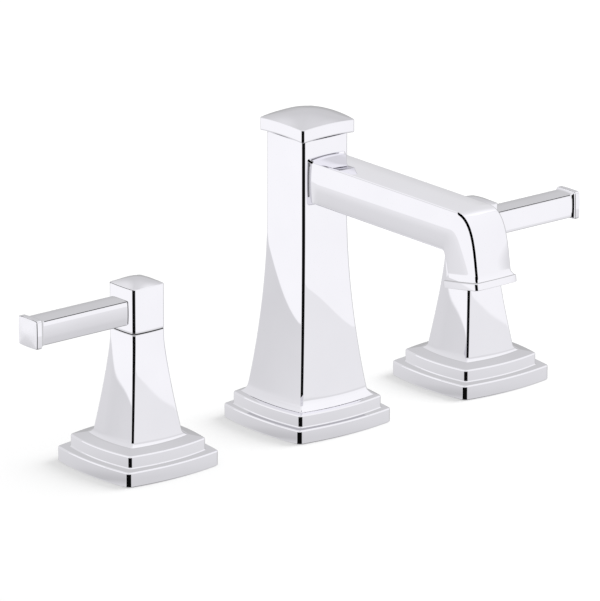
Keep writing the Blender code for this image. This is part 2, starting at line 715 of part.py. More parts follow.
def along_lever():
    return Matrix.Translation((0, 0, LEVER_Z)) @ Matrix.Rotation(math.pi / 2, 4, "Y")


def along_back(back):
    """Frame of the set screw, which enters the hub's back face."""
    turn = Matrix.Rotation(-back * math.pi / 2, 4, "X")
    return Matrix.Translation((0, 0, HUB_BASE + SET_SCREW_HEIGHT)) @ turn


def set_screw(name, back, parent):
    inner = STEM_RADIUS + FIT_GAP
    outer = HUB_HALF + COLUMN_BOW - SET_SCREW_RECESS
    obj = add_piece(name, prism(SET_SCREW_RADIUS, inner, outer, PIN_STEPS, along_back(back)), "steel", parent)
    deep = outer - SET_SCREW_SOCKET_DEPTH
    socket = prism(SET_SCREW_SOCKET_RADIUS, deep, outer + CUT_OVERRUN, HEX_SIDES, along_back(back))
    return cut(obj, socket)


def lever_level(half_width, half_height, bow, corner, reach):
    points = outline(half_width, half_height, bow, bow, corner)
    return framed(points, Vector((reach, 0, LEVER_Z)), Vector((0, 1, 0)), Vector((0, 0, 1)))


def lever(name, parent):
    """Square lever arm with a blind hole at each end for the stud and the cap's pin."""
    rings = []
    for reach, flare in (
        (LEVER_START, 0),
        (LEVER_END - LEVER_TIP_LENGTH, 0),
        (LEVER_END, LEVER_TIP_FLARE),
    ):
        sizes = (LEVER_HALF_WIDTH + flare, LEVER_HALF_HEIGHT + flare, LEVER_BOW, LEVER_CORNER)
        rings.append(lever_level(*sizes, reach))
    obj = add_piece(name, loft(rings), "chrome", parent)
    hole = STUD_RADIUS + FIT_GAP
    root = LEVER_START - CUT_OVERRUN
    cut(obj, prism(hole, root, LEVER_START + STUD_REACH + FIT_GAP, PIN_STEPS, along_lever()))
    tip = LEVER_END + CUT_OVERRUN
    return cut(obj, prism(hole, LEVER_END - STUD_REACH - FIT_GAP, tip, PIN_STEPS, along_lever()))


def lever_stud(name, parent):
    body = prism(STUD_RADIUS, STUD_START, LEVER_START + STUD_REACH, PIN_STEPS, along_lever())
    return add_piece(name, body, "steel", parent)


def lever_cap(name, parent):
    """End cap with a pillow face and a pin that seats in the lever."""
    half = LEVER_CAP_HALF
    start = LEVER_END + FIT_GAP
    edge = start + LEVER_CAP_THICKNESS
    rings = [lever_level(half, half, LEVER_BOW, LEVER_CAP_CORNER, reach) for reach in (start, edge)]
    for share in DOME_SHARES:
        reach = edge + LEVER_CAP_CROWN * (1 - share**2)
        sizes = (half * share, half * share, LEVER_BOW * share, LEVER_CAP_CORNER * share)
        rings.append(lever_level(*sizes, reach))
    obj = add_piece(name, loft(rings, Vector((edge + LEVER_CAP_CROWN, 0, LEVER_Z))), "chrome", parent)
    pin_end = start + LEVER_CAP_THICKNESS / 2
    pin = prism(STUD_RADIUS, LEVER_END - STUD_REACH, pin_end, PIN_STEPS, along_lever())
    return cut(obj, pin, "UNION")


def handle_unit(side, label):
    """One handle: side is 1 for the right-hand unit and -1 for the left-hand one."""
    turn = 0 if side > 0 else math.pi
    unit = empty(f"{label}_unit", (side * HANDLE_CENTRES / 2, 0, 0), turn=turn)
    axis = empty(f"{label}_axis", parent=unit)
    neck_bore = NECK_RADIUS + FIT_GAP
    barrel_bore = BARREL_RADIUS + FIT_GAP
    halves = (HANDLE_LOWER_HALF, HANDLE_UPPER_HALF)
    tiers = (HANDLE_LOWER_TIER, HANDLE_UPPER_TIER)
    name = f"{label}_base_plate"
    plate(name, halves, tiers, HANDLE_PLATE_RISE, COLUMN_FOOT_HALF, neck_bore, unit)
    base_pad(f"{label}_base_pad", HANDLE_LOWER_HALF, barrel_bore, unit)
    column(f"{label}_column", unit)
    guide_bush(f"{label}_guide_bush", unit)
    lock_nut(f"{label}_lock_nut", unit)
    bonnet(f"{label}_bonnet", unit)
    valve_body(f"{label}_valve_body", unit)
    cartridge_body(f"{label}_cartridge_body", unit)
    seat_seal(f"{label}_seat_seal", unit)
    port_disc(f"{label}_fixed_disc", FIXED_DISC_Z, math.pi / 2, unit)
    fixing_washer(f"{label}_fixing_washer", barrel_bore, unit)
    fixing_nut(f"{label}_fixing_nut", barrel_bore, unit)
    port_disc(f"{label}_turning_disc", TURNING_DISC_Z, 0, axis)
    stem(f"{label}_stem", axis)
    hub(f"{label}_hub", side, axis)
    set_screw(f"{label}_set_screw", side, axis)
    lever(f"{label}_lever", axis)
    lever_stud(f"{label}_lever_stud", axis)
    lever_cap(f"{label}_lever_cap", axis)


# Spout unit


def tower_rings(inset, low, high, every=1):
    sizes = (
        TOWER_BASE,
        TOWER_HEIGHT,
        (TOWER_TOP_HALF, TOWER_FOOT_HALF),
        (TOWER_BOW, TOWER_FOOT_BOW),
        TOWER_CORNER,
        TOWER_HEIGHT_SHARES,
        TOWER_FLARE_SHARES,
    )
    return flared_rings(sizes, inset, low, high, every)


def bezier(a, b, c, d, share):
    rest = 1 - share
    return a * rest**3 + b * 3 * rest**2 * share + c * 3 * rest * share**2 + d * share**3


def elbow_edges(share):
    """Outer and inner edge of the arm's side view, from the level arm to the top of the cove."""
    end = OUTLET_CENTRE + OUTLET_UP * (COLLAR_THICKNESS + FIT_GAP + COVE_HEIGHT)
    outer_end = end - OUTLET_BACK * DROP_HALF_DEPTH
    inner_end = end + OUTLET_BACK * DROP_HALF_DEPTH
    outer_start = arm_edges(outer_end.y + ELBOW_OUTER_REACH, 1)[0]
    inner_start = arm_edges(inner_end.y + ELBOW_INNER_REACH, 1)[1]
    outer = bend_curve(outer_start, outer_end, ELBOW_OUTER_SHARES, share)
    inner = bend_curve(inner_start, inner_end, ELBOW_INNER_SHARES, share)
    return outer, inner


def bend_curve(start, end, shares, share):
    """Point on a curve that leaves level and ends along the outlet's axis."""
    level_share, drop_share = shares
    pull = Vector((0, (end.y - start.y) * level_share, 0))
    drop = OUTLET_UP * (start.z - end.z) * drop_share
    return bezier(start, start + pull, end + drop, end, share)


def arm_edges(y, droop_share):
    """Top and bottom edge of the arm's side view at a place along it."""
    top = ARM_TOP_HEIGHT - ARM_DROOP * droop_share
    return Vector((0, y, top)), Vector((0, y, top - ARM_DEPTH))


def arm_section(outer, inner, grow):
    """Section across the arm between an outer and an inner edge point, grown by a small amount."""
    across = (outer - inner).normalized()
    half = (outer - inner).length / 2 + grow
    points = outline(ARM_HALF_WIDTH + grow, half, ARM_SIDE_BOW, ARM_TOP_BOW, ARM_CORNER)
    return framed(points, (outer + inner) / 2, Vector((1, 0, 0)), across)


def arm_root_rings():
    """Sections of the arm from inside the tower through the small flare at its face."""
    face = -TOWER_TOP_HALF - TOWER_BOW
    rings = [arm_section(*arm_edges(0, 0), ARM_ROOT_FLARE)]
    for share in ARM_ROOT_SHARES:
        flare = ARM_ROOT_FLARE * (1 - share) ** 2
        rings.append(arm_section(*arm_edges(face - ARM_ROOT_LENGTH * share, 0), flare))
    return rings


def elbow_rings(grow, shares):
    rings = []
    for share in shares:
        outer, inner = elbow_edges(share)
        rings.append(arm_section(outer, inner, grow))
    return rings


def cove_rings():
    """Sections that widen from the drop's end to the collar."""
    outer, inner = elbow_edges(1)
    rings = []
    for share in COVE_SHARES:
        shift = OUTLET_UP * COVE_HEIGHT * share
        rings.append(arm_section(outer - shift, inner - shift, COVE_FLARE * share**2))
    return rings


def arm_hollow_rings():
    outer, inner = elbow_edges(1)
    shift = OUTLET_UP * (COVE_HEIGHT + CUT_OVERRUN)
    rings = [arm_section(*arm_edges(0, 0), -ARM_WALL)] + elbow_rings(-ARM_WALL, ELBOW_SHARES[::2])
    return rings + elbow_rings(-ARM_WALL, (1,)) + [arm_section(outer - shift, inner - shift, -ARM_WALL)]


def spout_body():
    """Tower and arm in one hollow casting, with a floor for the shank and a ceiling for the cap."""
    obj = add_piece("spout_body", loft(tower_rings(0, TOWER_BASE, TOWER_TOP)), "chrome")
    arm = arm_root_rings() + elbow_rings(0, ELBOW_SHARES) + cove_rings()
    cut(obj, loft(arm), "UNION")
    low = TOWER_BASE + TOWER_FLOOR
    high = TOWER_TOP - TOWER_CEILING
    cut(obj, loft(tower_rings(TOWER_WALL, low, high, 2)))
    cut(obj, loft(arm_hollow_rings()))
    cut(obj, prism(SHANK_RADIUS + FIT_GAP, TOWER_BASE - CUT_OVERRUN, low + CUT_OVERRUN))
    return cut(obj, prism(CAP_PLUG_RADIUS + FIT_GAP, high - CUT_OVERRUN, TOWER_TOP + CUT_OVERRUN))


def spout_cap():
    """Domed cap with arched edges and a plug that seats in the tower's top."""
    half = TOWER_TOP_HALF + CAP_OVERHANG
    base = TOWER_TOP + FIT_GAP
    edge = base + CAP_EDGE_HEIGHT
    rings, tip = dome(half, CAP_BOW, CAP_CORNER, edge, CAP_CROWN, CAP_ARCH)
    seat = level(TOWER_TOP_HALF, TOWER_BOW, TOWER_CORNER, base)
    sides = [level(half, CAP_BOW, CAP_CORNER, z, CAP_ARCH) for z in (base, edge)]
    obj = add_piece("spout_cap", loft([seat] + sides + rings, tip), "chrome")
    return cut(obj, prism(CAP_PLUG_RADIUS, base - CAP_PLUG_DEPTH, edge), "UNION")


def at_outlet(obj):
    obj.location = OUTLET_CENTRE
    obj.rotation_euler.x = -OUTLET_LEAN
    return obj


def outlet_collar():
    """Square collar around the drop's end, with a round hole for the aerator."""
    points = outline(COLLAR_HALF_WIDTH, COLLAR_HALF_DEPTH, COLLAR_BOW, COLLAR_BOW, ARM_CORNER)
    axes = (Vector((1, 0, 0)), Vector((0, 1, 0)))
    rings = [framed(points, Vector((0, 0, z)), *axes) for z in (0, COLLAR_THICKNESS)]
    obj = at_outlet(add_piece("outlet_collar", loft(rings), "chrome"))
    high = COLLAR_THICKNESS + CUT_OVERRUN
    return cut(obj, prism(AERATOR_RADIUS + FIT_GAP, -CUT_OVERRUN, high))


def aerator():
    """Aerator housing with its screen and flow regulator, and the seal between it and the tube."""
    low = AERATOR_RECESS
    high = low + AERATOR_LENGTH
    throat = AERATOR_BORE - AERATOR_LIP
    profile = [
        (AERATOR_RADIUS, high),
        (AERATOR_RADIUS, low),
        (throat, low),
        (throat, low + AERATOR_LIP),
        (AERATOR_BORE, low + AERATOR_LIP),
        (AERATOR_BORE, high),
    ]
    at_outlet(turned("aerator_housing", profile, "acetal"))
    screen_low = low + AERATOR_LIP + FIT_GAP
    screen_high = screen_low + SCREEN_THICKNESS
    disc = AERATOR_BORE - FIT_GAP
    screen = at_outlet(add_piece("aerator_screen", prism(disc, screen_low, screen_high), "steel"))
    hole_span = (screen_low - CUT_OVERRUN, screen_high + CUT_OVERRUN)
    for index in range(SCREEN_HOLES):
        place = Matrix.Rotation(2 * math.pi * index / SCREEN_HOLES, 4, "Z")
        place @= Matrix.Translation((disc * SCREEN_CIRCLE_SHARE, 0, 0))
        cut(screen, prism(disc * SCREEN_HOLE_SHARE, *hole_span, HOLE_STEPS, place))
    regulator_low = screen_high + FIT_GAP
    regulator_high = regulator_low + REGULATOR_THICKNESS
    at_outlet(ring_piece("flow_regulator", REGULATOR_BORE, disc, regulator_low, regulator_high, "nylon"))
    seal_low = high + FIT_GAP
    seal_high = seal_low + AERATOR_SEAL_THICKNESS
    bore = TUBE_RADIUS - TUBE_WALL
    at_outlet(ring_piece("aerator_seal", bore, AERATOR_RADIUS, seal_low, seal_high, "rubber"))
    return seal_high


def water_tube(end_rise):
    """Tube up the tower, along the arm and down to the aerator's seal."""
    tube_end = OUTLET_CENTRE + OUTLET_UP * (end_rise + FIT_GAP)
    rise = (ARM_CENTRE_HEIGHT - tube_end.z) / OUTLET_UP.z
    corner = tube_end + OUTLET_UP * rise
    bend = rise * TUBE_BEND_SHARE
    foot = Vector((0, 0, TUBE_BOTTOM))
    first_corner = Vector((0, 0, ARM_CENTRE_HEIGHT))
    route = rounded_bend(foot, first_corner, corner, bend)
    route += rounded_bend(route[-1], corner, tube_end, bend)[1:]
    route.append(tube_end)
    obj = add_piece("water_tube", tube_shape(route, TUBE_RADIUS), "copper")
    below = route[0] - Vector((0, 0, CUT_OVERRUN))
    beyond = tube_end - OUTLET_UP * CUT_OVERRUN
    return cut(obj, tube_shape([below] + route[1:-1] + [beyond], TUBE_RADIUS - TUBE_WALL))


def tube_fitting():
    """Threaded end on the tube, where the hoses from the valves meet."""
    low = TUBE_BOTTOM - TUBE_SOCKET_LIP
    high = low + TUBE_FITTING_LENGTH
    socket = TUBE_RADIUS + FIT_GAP
    bore = TUBE_RADIUS - TUBE_WALL
    ledge = TUBE_BOTTOM - FIT_GAP
    profile = [
        (TUBE_FITTING_RADIUS, high),
        (TUBE_FITTING_RADIUS, low),
        (bore, low),
        (bore, ledge),
        (socket, ledge),
        (socket, high),
    ]
    return turned("tube_fitting", profile, "brass")


def cap_ring():
    """Rubber ring around the cap's plug."""
    middle = TOWER_TOP - TOWER_CEILING - CAP_RING_RADIUS * CAP_RING_SHARE
    radius = CAP_PLUG_RADIUS + FIT_GAP + CAP_RING_RADIUS
    profile = []
    for step in range(CAP_RING_STEPS):
        angle = -2 * math.pi * step / CAP_RING_STEPS
        height = middle - CAP_RING_RADIUS + CAP_RING_RADIUS * math.sin(angle)
        profile.append((radius + CAP_RING_RADIUS * math.cos(angle), height))
    return turned("cap_ring", profile, "rubber")


def spout_unit():
    bore = SHANK_RADIUS + FIT_GAP
    halves = (SPOUT_LOWER_HALF, SPOUT_UPPER_HALF)
    tiers = (SPOUT_LOWER_TIER, SPOUT_UPPER_TIER)
    plate("spout_base_plate", halves, tiers, SPOUT_PLATE_RISE, TOWER_FOOT_HALF, bore)
    base_pad("spout_base_pad", SPOUT_LOWER_HALF, bore)
    spout_body()
    spout_cap()
    cap_ring()
    outlet_collar()
    seal_top = aerator()
    water_tube(seal_top)
    tube_fitting()
    shank_top = TOWER_BASE + TOWER_FLOOR
    ring_piece("spout_shank", SHANK_BORE, SHANK_RADIUS, SHANK_BOTTOM, shank_top, "brass")
    fixing_washer("spout_fixing_washer", bore)
    fixing_nut("spout_fixing_nut", bore)


clear_scene()
PARTS = new_collection("bathroom_sink_faucet")
CUTTERS = new_collection("cutters")
spout_unit()
handle_unit(-1, "left")
handle_unit(1, "right")
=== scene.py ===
"""Polished chrome widespread basin faucet on a pale floor, in soft studio light."""

import json
import math

import bmesh
import bpy
from mathutils import Matrix, Vector

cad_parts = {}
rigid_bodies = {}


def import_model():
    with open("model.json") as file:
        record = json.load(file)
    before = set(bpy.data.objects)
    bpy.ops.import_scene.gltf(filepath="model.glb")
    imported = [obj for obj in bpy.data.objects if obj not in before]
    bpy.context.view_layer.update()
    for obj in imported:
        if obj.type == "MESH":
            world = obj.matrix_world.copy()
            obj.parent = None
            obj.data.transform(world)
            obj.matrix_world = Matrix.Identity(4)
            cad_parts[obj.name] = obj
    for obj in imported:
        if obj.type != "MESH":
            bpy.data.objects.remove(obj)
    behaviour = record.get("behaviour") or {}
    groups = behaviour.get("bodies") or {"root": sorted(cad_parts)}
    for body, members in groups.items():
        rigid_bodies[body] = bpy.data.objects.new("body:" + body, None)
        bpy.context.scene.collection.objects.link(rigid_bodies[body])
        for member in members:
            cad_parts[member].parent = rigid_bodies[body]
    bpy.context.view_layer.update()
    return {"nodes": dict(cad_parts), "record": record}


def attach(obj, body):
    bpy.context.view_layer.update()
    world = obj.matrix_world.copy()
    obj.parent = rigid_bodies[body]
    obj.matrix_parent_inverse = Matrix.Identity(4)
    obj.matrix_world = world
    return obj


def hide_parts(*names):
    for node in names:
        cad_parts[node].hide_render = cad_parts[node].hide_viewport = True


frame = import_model()

MM = 0.001
FIT_GAP = 0.3 * MM
HANDLE_OFFSET = 101.6 * MM
STANDING = "fixed_pieces"

PLATE_BOW = 3.0 * MM
PLATE_CORNER = 2.3 * MM
PLATE_WALL = 2.0 * MM
PLATE_CHAMFER = 0.5 * MM
SLOPE_END = 0.4 * MM
PLATEAU_REACH = 3.0 * MM
PLATE_FILLETS = (0.4 * MM, 0.8 * MM, 0.6 * MM, 0.8 * MM, 0.3 * MM)

COLUMN_BASE = 14.9 * MM
COLUMN_HEIGHT = 50.5 * MM
COLUMN_TOP = COLUMN_BASE + COLUMN_HEIGHT
COLUMN_TOP_HALF = 8.8 * MM
COLUMN_FOOT_HALF = 16.2 * MM
COLUMN_CORNER = 1.3 * MM
COLUMN_BOW = 0.8 * MM
COLUMN_FOOT_BOW = 2.2 * MM
RIM_EDGE = 0.25 * MM
RIM_EDGE_MIDDLE = 0.07 * MM
COLUMN_BORE = 9.3 * MM
SEATED = 0.28 * MM

HUB_BASE = COLUMN_TOP + 2 * FIT_GAP
HUB_HEIGHT = 21.1 * MM
HUB_CROWN = 2.8 * MM
SCREW_HEIGHT = 6.0 * MM
SCREW_HOLE = 1.9 * MM

LEVER_Z = HUB_BASE + 9.6 * MM
LEVER_START = COLUMN_TOP_HALF + COLUMN_BOW + FIT_GAP
LEVER_END = LEVER_START + 50.0 * MM
LEVER_HALF_WIDTH = 5.5 * MM
LEVER_HALF_HEIGHT = 5.6 * MM
LEVER_CORNER = 0.6 * MM
LEVER_BOW = 0.4 * MM
LEVER_CHAMFER = 0.2 * MM
LEVER_FLARE = 0.6 * MM
LEVER_FLARE_LENGTH = 1.8 * MM

# Rubber lines that paint a dark reflection along the lever's top edges: how far they stand out and sink
# in, and how far they stop short of each end
LINE_PROUD = 0.02 * MM
LINE_DEPTH = 0.1 * MM
LINE_INSET = 0.3 * MM
LINE_END_INSET = 1.9 * MM
# Rubber pieces that paint the shade in the joints under the hub and at the lever's root: gap they leave,
# how far in they sit, and the ring's hole
SEAM_CLEARANCE = 0.05 * MM
SEAM_DEPTH = 0.2 * MM
SEAM_HOLE = 7.3 * MM

TOWER_BASE = 13.7 * MM
TOWER_HEIGHT = 127.0 * MM
TOWER_TOP = TOWER_BASE + TOWER_HEIGHT
TOWER_TOP_HALF = 13.2 * MM
TOWER_FOOT_HALF = 22.1 * MM
TOWER_CORNER = 1.35 * MM
TOWER_BOW = 0.9 * MM
TOWER_FOOT_BOW = 2.6 * MM
TOWER_BORE = 10.5 * MM

ARM_TOP = TOWER_TOP - 9.7 * MM
ARM_DEPTH = 19.6 * MM
ARM_DROOP = 1.1 * MM
ARM_HALF_WIDTH = 10.2 * MM
ARM_CORNER = 1.3 * MM
ARM_WALL = 2.0 * MM
ARM_SEAT = 1.5 * MM
ARM_FLARE = 1.0 * MM
ARM_FLARE_LENGTH = 2.8 * MM
ARM_FLARE_POWER = 2.4
ARM_TOP_BOW = 0.9 * MM
ARM_SIDE_BOW = 0.65 * MM
DROP_HALF_DEPTH = 10.0 * MM
OUTLET_LEAN = math.radians(9.0)
OUTLET = Vector((0, -122.9 * MM, ARM_TOP - 35.8 * MM))
OUTLET_UP = Vector((0, math.sin(OUTLET_LEAN), math.cos(OUTLET_LEAN)))
OUTLET_BACK = Vector((0, math.cos(OUTLET_LEAN), -math.sin(OUTLET_LEAN)))
COLLAR_THICKNESS = 3.3 * MM
COVE_HEIGHT = 3.0 * MM
COVE_FLARE = 1.1 * MM
COVE_POWER = 2.2

SIDE_STEPS = 18
CORNER_STEPS = 8

# Edges that turn by more degrees stay sharp
SHARP_ANGLE = 50
PLATE_SHARP_ANGLE = 60


# Outlines and lofts


def lerp(a, b, share):
    return a + (b - a) * share


def fractions(steps):
    """Even steps from 0 to 1, both included."""
    return [step / steps for step in range(steps + 1)]


def end_angle(half_u, bow_u, centre_u, centre_v, corner):
    """Angle of a bowed side's normal where the corner arc takes over."""
    angle = 0
    for _ in range(12):
        rise = half_u + bow_u - centre_u - corner * math.cos(angle)
        angle = math.atan2(2 * rise, centre_v + corner * math.sin(angle))
    return angle


def outline(half_u, half_v, bow_u, bow_v, corner):
    """Closed rectangle with bowed sides and round corners, as (u, v, share of the side's bow)."""
    centre_u = half_u - corner * math.sqrt(0.5)
    centre_v = half_v - corner * math.sqrt(0.5)
    start = end_angle(half_u, bow_u, centre_u, centre_v, corner)
    stop = math.pi / 2 - end_angle(half_v, bow_v, centre_v, centre_u, corner)
    arc = []
    for share in fractions(CORNER_STEPS):
        angle = lerp(start, stop, share)
        arc.append((centre_u + corner * math.cos(angle), centre_v + corner * math.sin(angle)))
    end_u, end_v = arc[-1][0], arc[0][1]
    shares = [1 - 2 * step / SIDE_STEPS for step in range(1, SIDE_STEPS)]
    bows = [1 - s * s for s in shares]
    along_v = [(end_u * s, lerp(arc[-1][1], half_v + bow_v, b), b) for s, b in zip(shares, bows)]
    along_u = [(-lerp(arc[0][0], half_u + bow_u, b), end_v * s, b) for s, b in zip(shares, bows)]
    half_turn = [(u, v, 0) for u, v in arc] + along_v
    half_turn += [(-u, v, 0) for u, v in reversed(arc)] + along_u
    return half_turn + [(-u, -v, b) for u, v, b in half_turn]


def square(half, bow, corner, z, arch=0):
    return [Vector((u, v, z + arch * b)) for u, v, b in outline(half, half, bow, bow, corner)]


def circle_like(ring, radius, z):
    """Circle whose points lie at the same angles as another ring's."""
    points = []
    for point in ring:
        angle = math.atan2(point.y, point.x)
        points.append(Vector((radius * math.cos(angle), radius * math.sin(angle), z)))
    return points


def rounded_path(points, radii, steps=6):
    """Polyline with an arc at each inner point, whose radius is the matching entry."""
    path = [Vector(points[0])]
    for before, point, after, radius in zip(points, points[1:], points[2:], radii):
        before, point, after = Vector(before), Vector(point), Vector(after)
        if not radius:
            path.append(point)
            continue
        into = (point - before).normalized()
        away = (after - point).normalized()
        turn = into.angle(away)
        reach = radius * math.tan(turn / 2)
        start = point - into * reach
        inward = (away - into * into.dot(away)).normalized()
        for share in fractions(steps):
            angle = turn * share
            ahead, aside = radius * math.sin(angle), radius * (1 - math.cos(angle))
            path.append(start + into * ahead + inward * aside)
    path.append(Vector(points[-1]))
    return path


def loft(rings, ends="close"):
    """Mesh through equal rings: closed on itself, capped at both ends, or capped and tipped."""
    bm = bmesh.new()
    rows = [[bm.verts.new(point) for point in ring] for ring in rings]
    pairs = list(zip(rows, rows[1:]))
    if ends == "close":
        pairs.append((rows[-1], rows[0]))
    for low, high in pairs:
        for a in range(len(low)):
            b = (a + 1) % len(low)
            bm.faces.new((low[a], low[b], high[b], high[a]))
    if ends != "close":
        bm.faces.new(rows[0])
        if isinstance(ends, Vector):
            tip = bm.verts.new(ends)
            for a in range(len(rows[-1])):
                bm.faces.new((rows[-1][a], rows[-1][(a + 1) % len(rows[-1])], tip))
        else:
            bm.faces.new(rows[-1])
    bmesh.ops.recalc_face_normals(bm, faces=bm.faces)
    return bm


def make(name, bm, node, body, sharp=SHARP_ANGLE, finish="chrome", mirrored=False):
    """Object from a mesh that takes a CAD node's place, or none's, and rides on a body."""
    mesh = bpy.data.meshes.new(name)
    bm.to_mesh(mesh)
    bm.free()
    mesh.shade_smooth()
    mesh.set_sharp_from_angle(angle=math.radians(sharp))
    mesh.materials.append(FINISHES[finish])
    obj = bpy.data.objects.new(name, mesh)
    bpy.context.scene.collection.objects.link(obj)
    normals = obj.modifiers.new("even", "WEIGHTED_NORMAL")
    normals.keep_sharp = True
    obj.visible_glossy = mirrored
    if node:
        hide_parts(node)
    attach(obj, body)
    return obj


def place(bm, matrix):
    bmesh.ops.transform(bm, verts=bm.verts, matrix=matrix)
    return bm


# Materials

# Range of noise values that is spread over a material's range
NOISE_LOW = 0.3
NOISE_HIGH = 0.7
EVEN = (1, 1, 1)


def nodes_of(name):
    made = bpy.data.materials.new(name)
    made.use_nodes = True
    tree = made.node_tree
    return made, tree, tree.nodes["Principled BSDF"]


def noise(tree, scale, detail=3.0, stretch=EVEN):
    """Noise in the object's own space."""
    where = tree.nodes.new("ShaderNodeTexCoord")
    mapping = tree.nodes.new("ShaderNodeMapping")
    mapping.inputs["Scale"].default_value = stretch
    tree.links.new(where.outputs["Object"], mapping.inputs["Vector"])
    field = tree.nodes.new("ShaderNodeTexNoise")
    field.inputs["Scale"].default_value = scale
    field.inputs["Detail"].default_value = detail
    tree.links.new(mapping.outputs["Vector"], field.inputs["Vector"])
    return field.outputs["Fac"]


def spread(tree, source, low, high):
    """Map a noise value to a range."""
    node = tree.nodes.new("ShaderNodeMapRange")
    node.inputs["From Min"].default_value = NOISE_LOW
    node.inputs["From Max"].default_value = NOISE_HIGH
    node.inputs["To Min"].default_value = low
    node.inputs["To Max"].default_value = high
    tree.links.new(source, node.inputs["Value"])
    return node.outputs["Result"]


def two_tone(tree, source, dark, light):
    ramp = tree.nodes.new("ShaderNodeValToRGB")
    ramp.color_ramp.elements[0].position = NOISE_LOW
    ramp.color_ramp.elements[0].color = (*dark, 1)
    ramp.color_ramp.elements[1].position = NOISE_HIGH
    ramp.color_ramp.elements[1].color = (*light, 1)
    tree.links.new(source, ramp.inputs["Fac"])
    return ramp.outputs["Color"]


def bump(tree, source, strength, distance):
    node = tree.nodes.new("ShaderNodeBump")
    node.inputs["Strength"].default_value = strength
    node.inputs["Distance"].default_value = distance
    tree.links.new(source, node.inputs["Height"])
    return node.outputs["Normal"]


def surface(name, metallic, dark, light, rough, scale, grain=None):
    """Material with colour and roughness that vary over the surface, and an optional grain."""
    made, tree, shader = nodes_of(name)
    shader.inputs["Metallic"].default_value = metallic
    field = noise(tree, scale)
    tree.links.new(two_tone(tree, field, dark, light), shader.inputs["Base Color"])
    tree.links.new(spread(tree, field, *rough), shader.inputs["Roughness"])
    if grain:
        grain_scale, stretch, strength, distance = grain
        fine = noise(tree, grain_scale, detail=4.0, stretch=stretch)
        tree.links.new(bump(tree, fine, strength, distance), shader.inputs["Normal"])
    return made


CHROME_TONES = ((0.89, 0.882, 0.93), (0.91, 0.902, 0.95))
SOFT_CHROME = surface("chrome_soft", 1, *CHROME_TONES, (0.12, 0.16), 45)
# Metallic, dark and light colour, range of roughness, scale, and for a grain its scale, stretch,
# strength and depth in metres
FINISH_VALUES = {
    "chrome": (1, *CHROME_TONES, (0.012, 0.028), 45),
    "brass": (1, (0.62, 0.44, 0.19), (0.78, 0.6, 0.31), (0.22, 0.36), 70, (700, (1, 1, 6), 0.25, 5e-5)),
    "steel": (1, (0.5, 0.5, 0.51), (0.66, 0.66, 0.67), (0.26, 0.4), 90, (900, (1, 8, 1), 0.2, 4e-5)),
    "rubber": (0, (0.02, 0.02, 0.021), (0.04, 0.04, 0.041), (0.6, 0.8), 120, (1500, EVEN, 0.3, 1e-4)),
    "ceramic": (0, (0.84, 0.82, 0.76), (0.91, 0.89, 0.84), (0.15, 0.28), 110),
    "nylon": (0, (0.76, 0.76, 0.71), (0.83, 0.83, 0.79), (0.38, 0.52), 130, (1200, EVEN, 0.15, 5e-5)),
    "acetal": (0, (0.045, 0.045, 0.05), (0.075, 0.075, 0.08), (0.3, 0.45), 130, (1200, EVEN, 0.2, 5e-5)),
    "copper": (1, (0.66, 0.33, 0.21), (0.82, 0.5, 0.36), (0.2, 0.4), 60, (700, (1, 1, 5), 0.2, 5e-5)),
}
FINISHES = {name: surface(name, *values) for name, values in FINISH_VALUES.items()}
for entry in frame["record"]["subparts"]:
    node = frame["nodes"][entry["node"]]
    for slot in node.material_slots:
        slot.material = FINISHES[entry["material_slot"]]
    node.visible_glossy = False


# Shading normals

# A plate's lean at its foot and at a height
PLATE_LEANS = (-0.105, -0.05)
PLATE_LEAN_HEIGHT = 13.2 * MM
# Leans of X sides and of the -Y side
ARM_LEANS = (-0.012, 0.37)
COLLAR_LEANS = (-0.015, 0.38)
LEVER_LEANS = {"left": (0, -0.064), "right": (0, 0.058)}
# Share of the real lean of a column's X sides and Y sides, as terms of a parabola across each side
COLUMN_STEEPNESS = {
    "left": ((0.878, -3.906, -8.145), (0.937, 1.736, 0.731)),
    "right": ((0.856, -3.348, -7.251), (0.955, 1.839, 0.581)),
}
TOWER_STEEPNESS = ((1.599, -1.772, 5.04), (1.6, 0.21, 8.844))
# Range of the parabolas, by how far a normal points aside
X_SIDE_LIMITS = (-0.17, 0.09)
Y_SIDE_LIMITS = (-0.13, 0.18)
# Faces whose normals point up or down by more keep their lean
STEEP_LIMIT = 0.6
TOWER_FOOT_HEIGHT = TOWER_BASE + 4.5 * MM
FOOT_LEAN = 0.13
FOOT_BLEND = 1.2 * MM
FOOT_LIMIT = 0.3
# Bright upper edges by the height of their normals: start, and end on plates and arm
EDGE_START = 0.1
PLATE_EDGE_END = 0.72
ARM_EDGE_END = 0.62
ARM_EDGE_SIDE = -0.3
BRIGHT_EDGE_LIFT = 0.02
# Dark upper edges of the -X sides of hubs and end caps
DARK_EDGE_SIDE = -0.45
DARK_EDGE = (0.15, 0.8)
# Dark upright corners
CORNER_START = 0.25
CORNER_STEEPEST = 0.5
CORNER_DROP = 0.38
# Flare at the arm's root, with a dark line down to a height
ARM_ROOT_END = -TOWER_TOP_HALF - TOWER_BOW - 2.9 * MM
ARM_ROOT_SIDE = -0.2
ARM_ROOT_LINE_START = -0.4
ARM_ROOT_LINE_LOW = ARM_TOP - 0.85 * ARM_DEPTH
ARM_ROOT_DARK = (-0.75, -0.35, -0.55)
BEND_START = -0.08
CARD_NORMAL = (0.72, -0.63, 0.29)
# Line between the two tones on the outlet's side, and how fast the lean changes across it
DROP_TONE_Y = -129.0 * MM
DROP_TONE_Z = 102.0 * MM
DROP_TONE_SLOPE = 0.44
DROP_TONE_GRADIENT = 4.0
DROP_TONE_LIMITS = (-0.03, 0.006)
ARM_TONE_LEAN = -0.0086
DROP_START = 125.0 * MM
DROP_BLEND = 6.0 * MM
END_FACE_START = 0.85
END_FACE_BLEND = 0.1
END_FACE_FLATNESS = 0.35
END_FACE_SOFT = 0.95


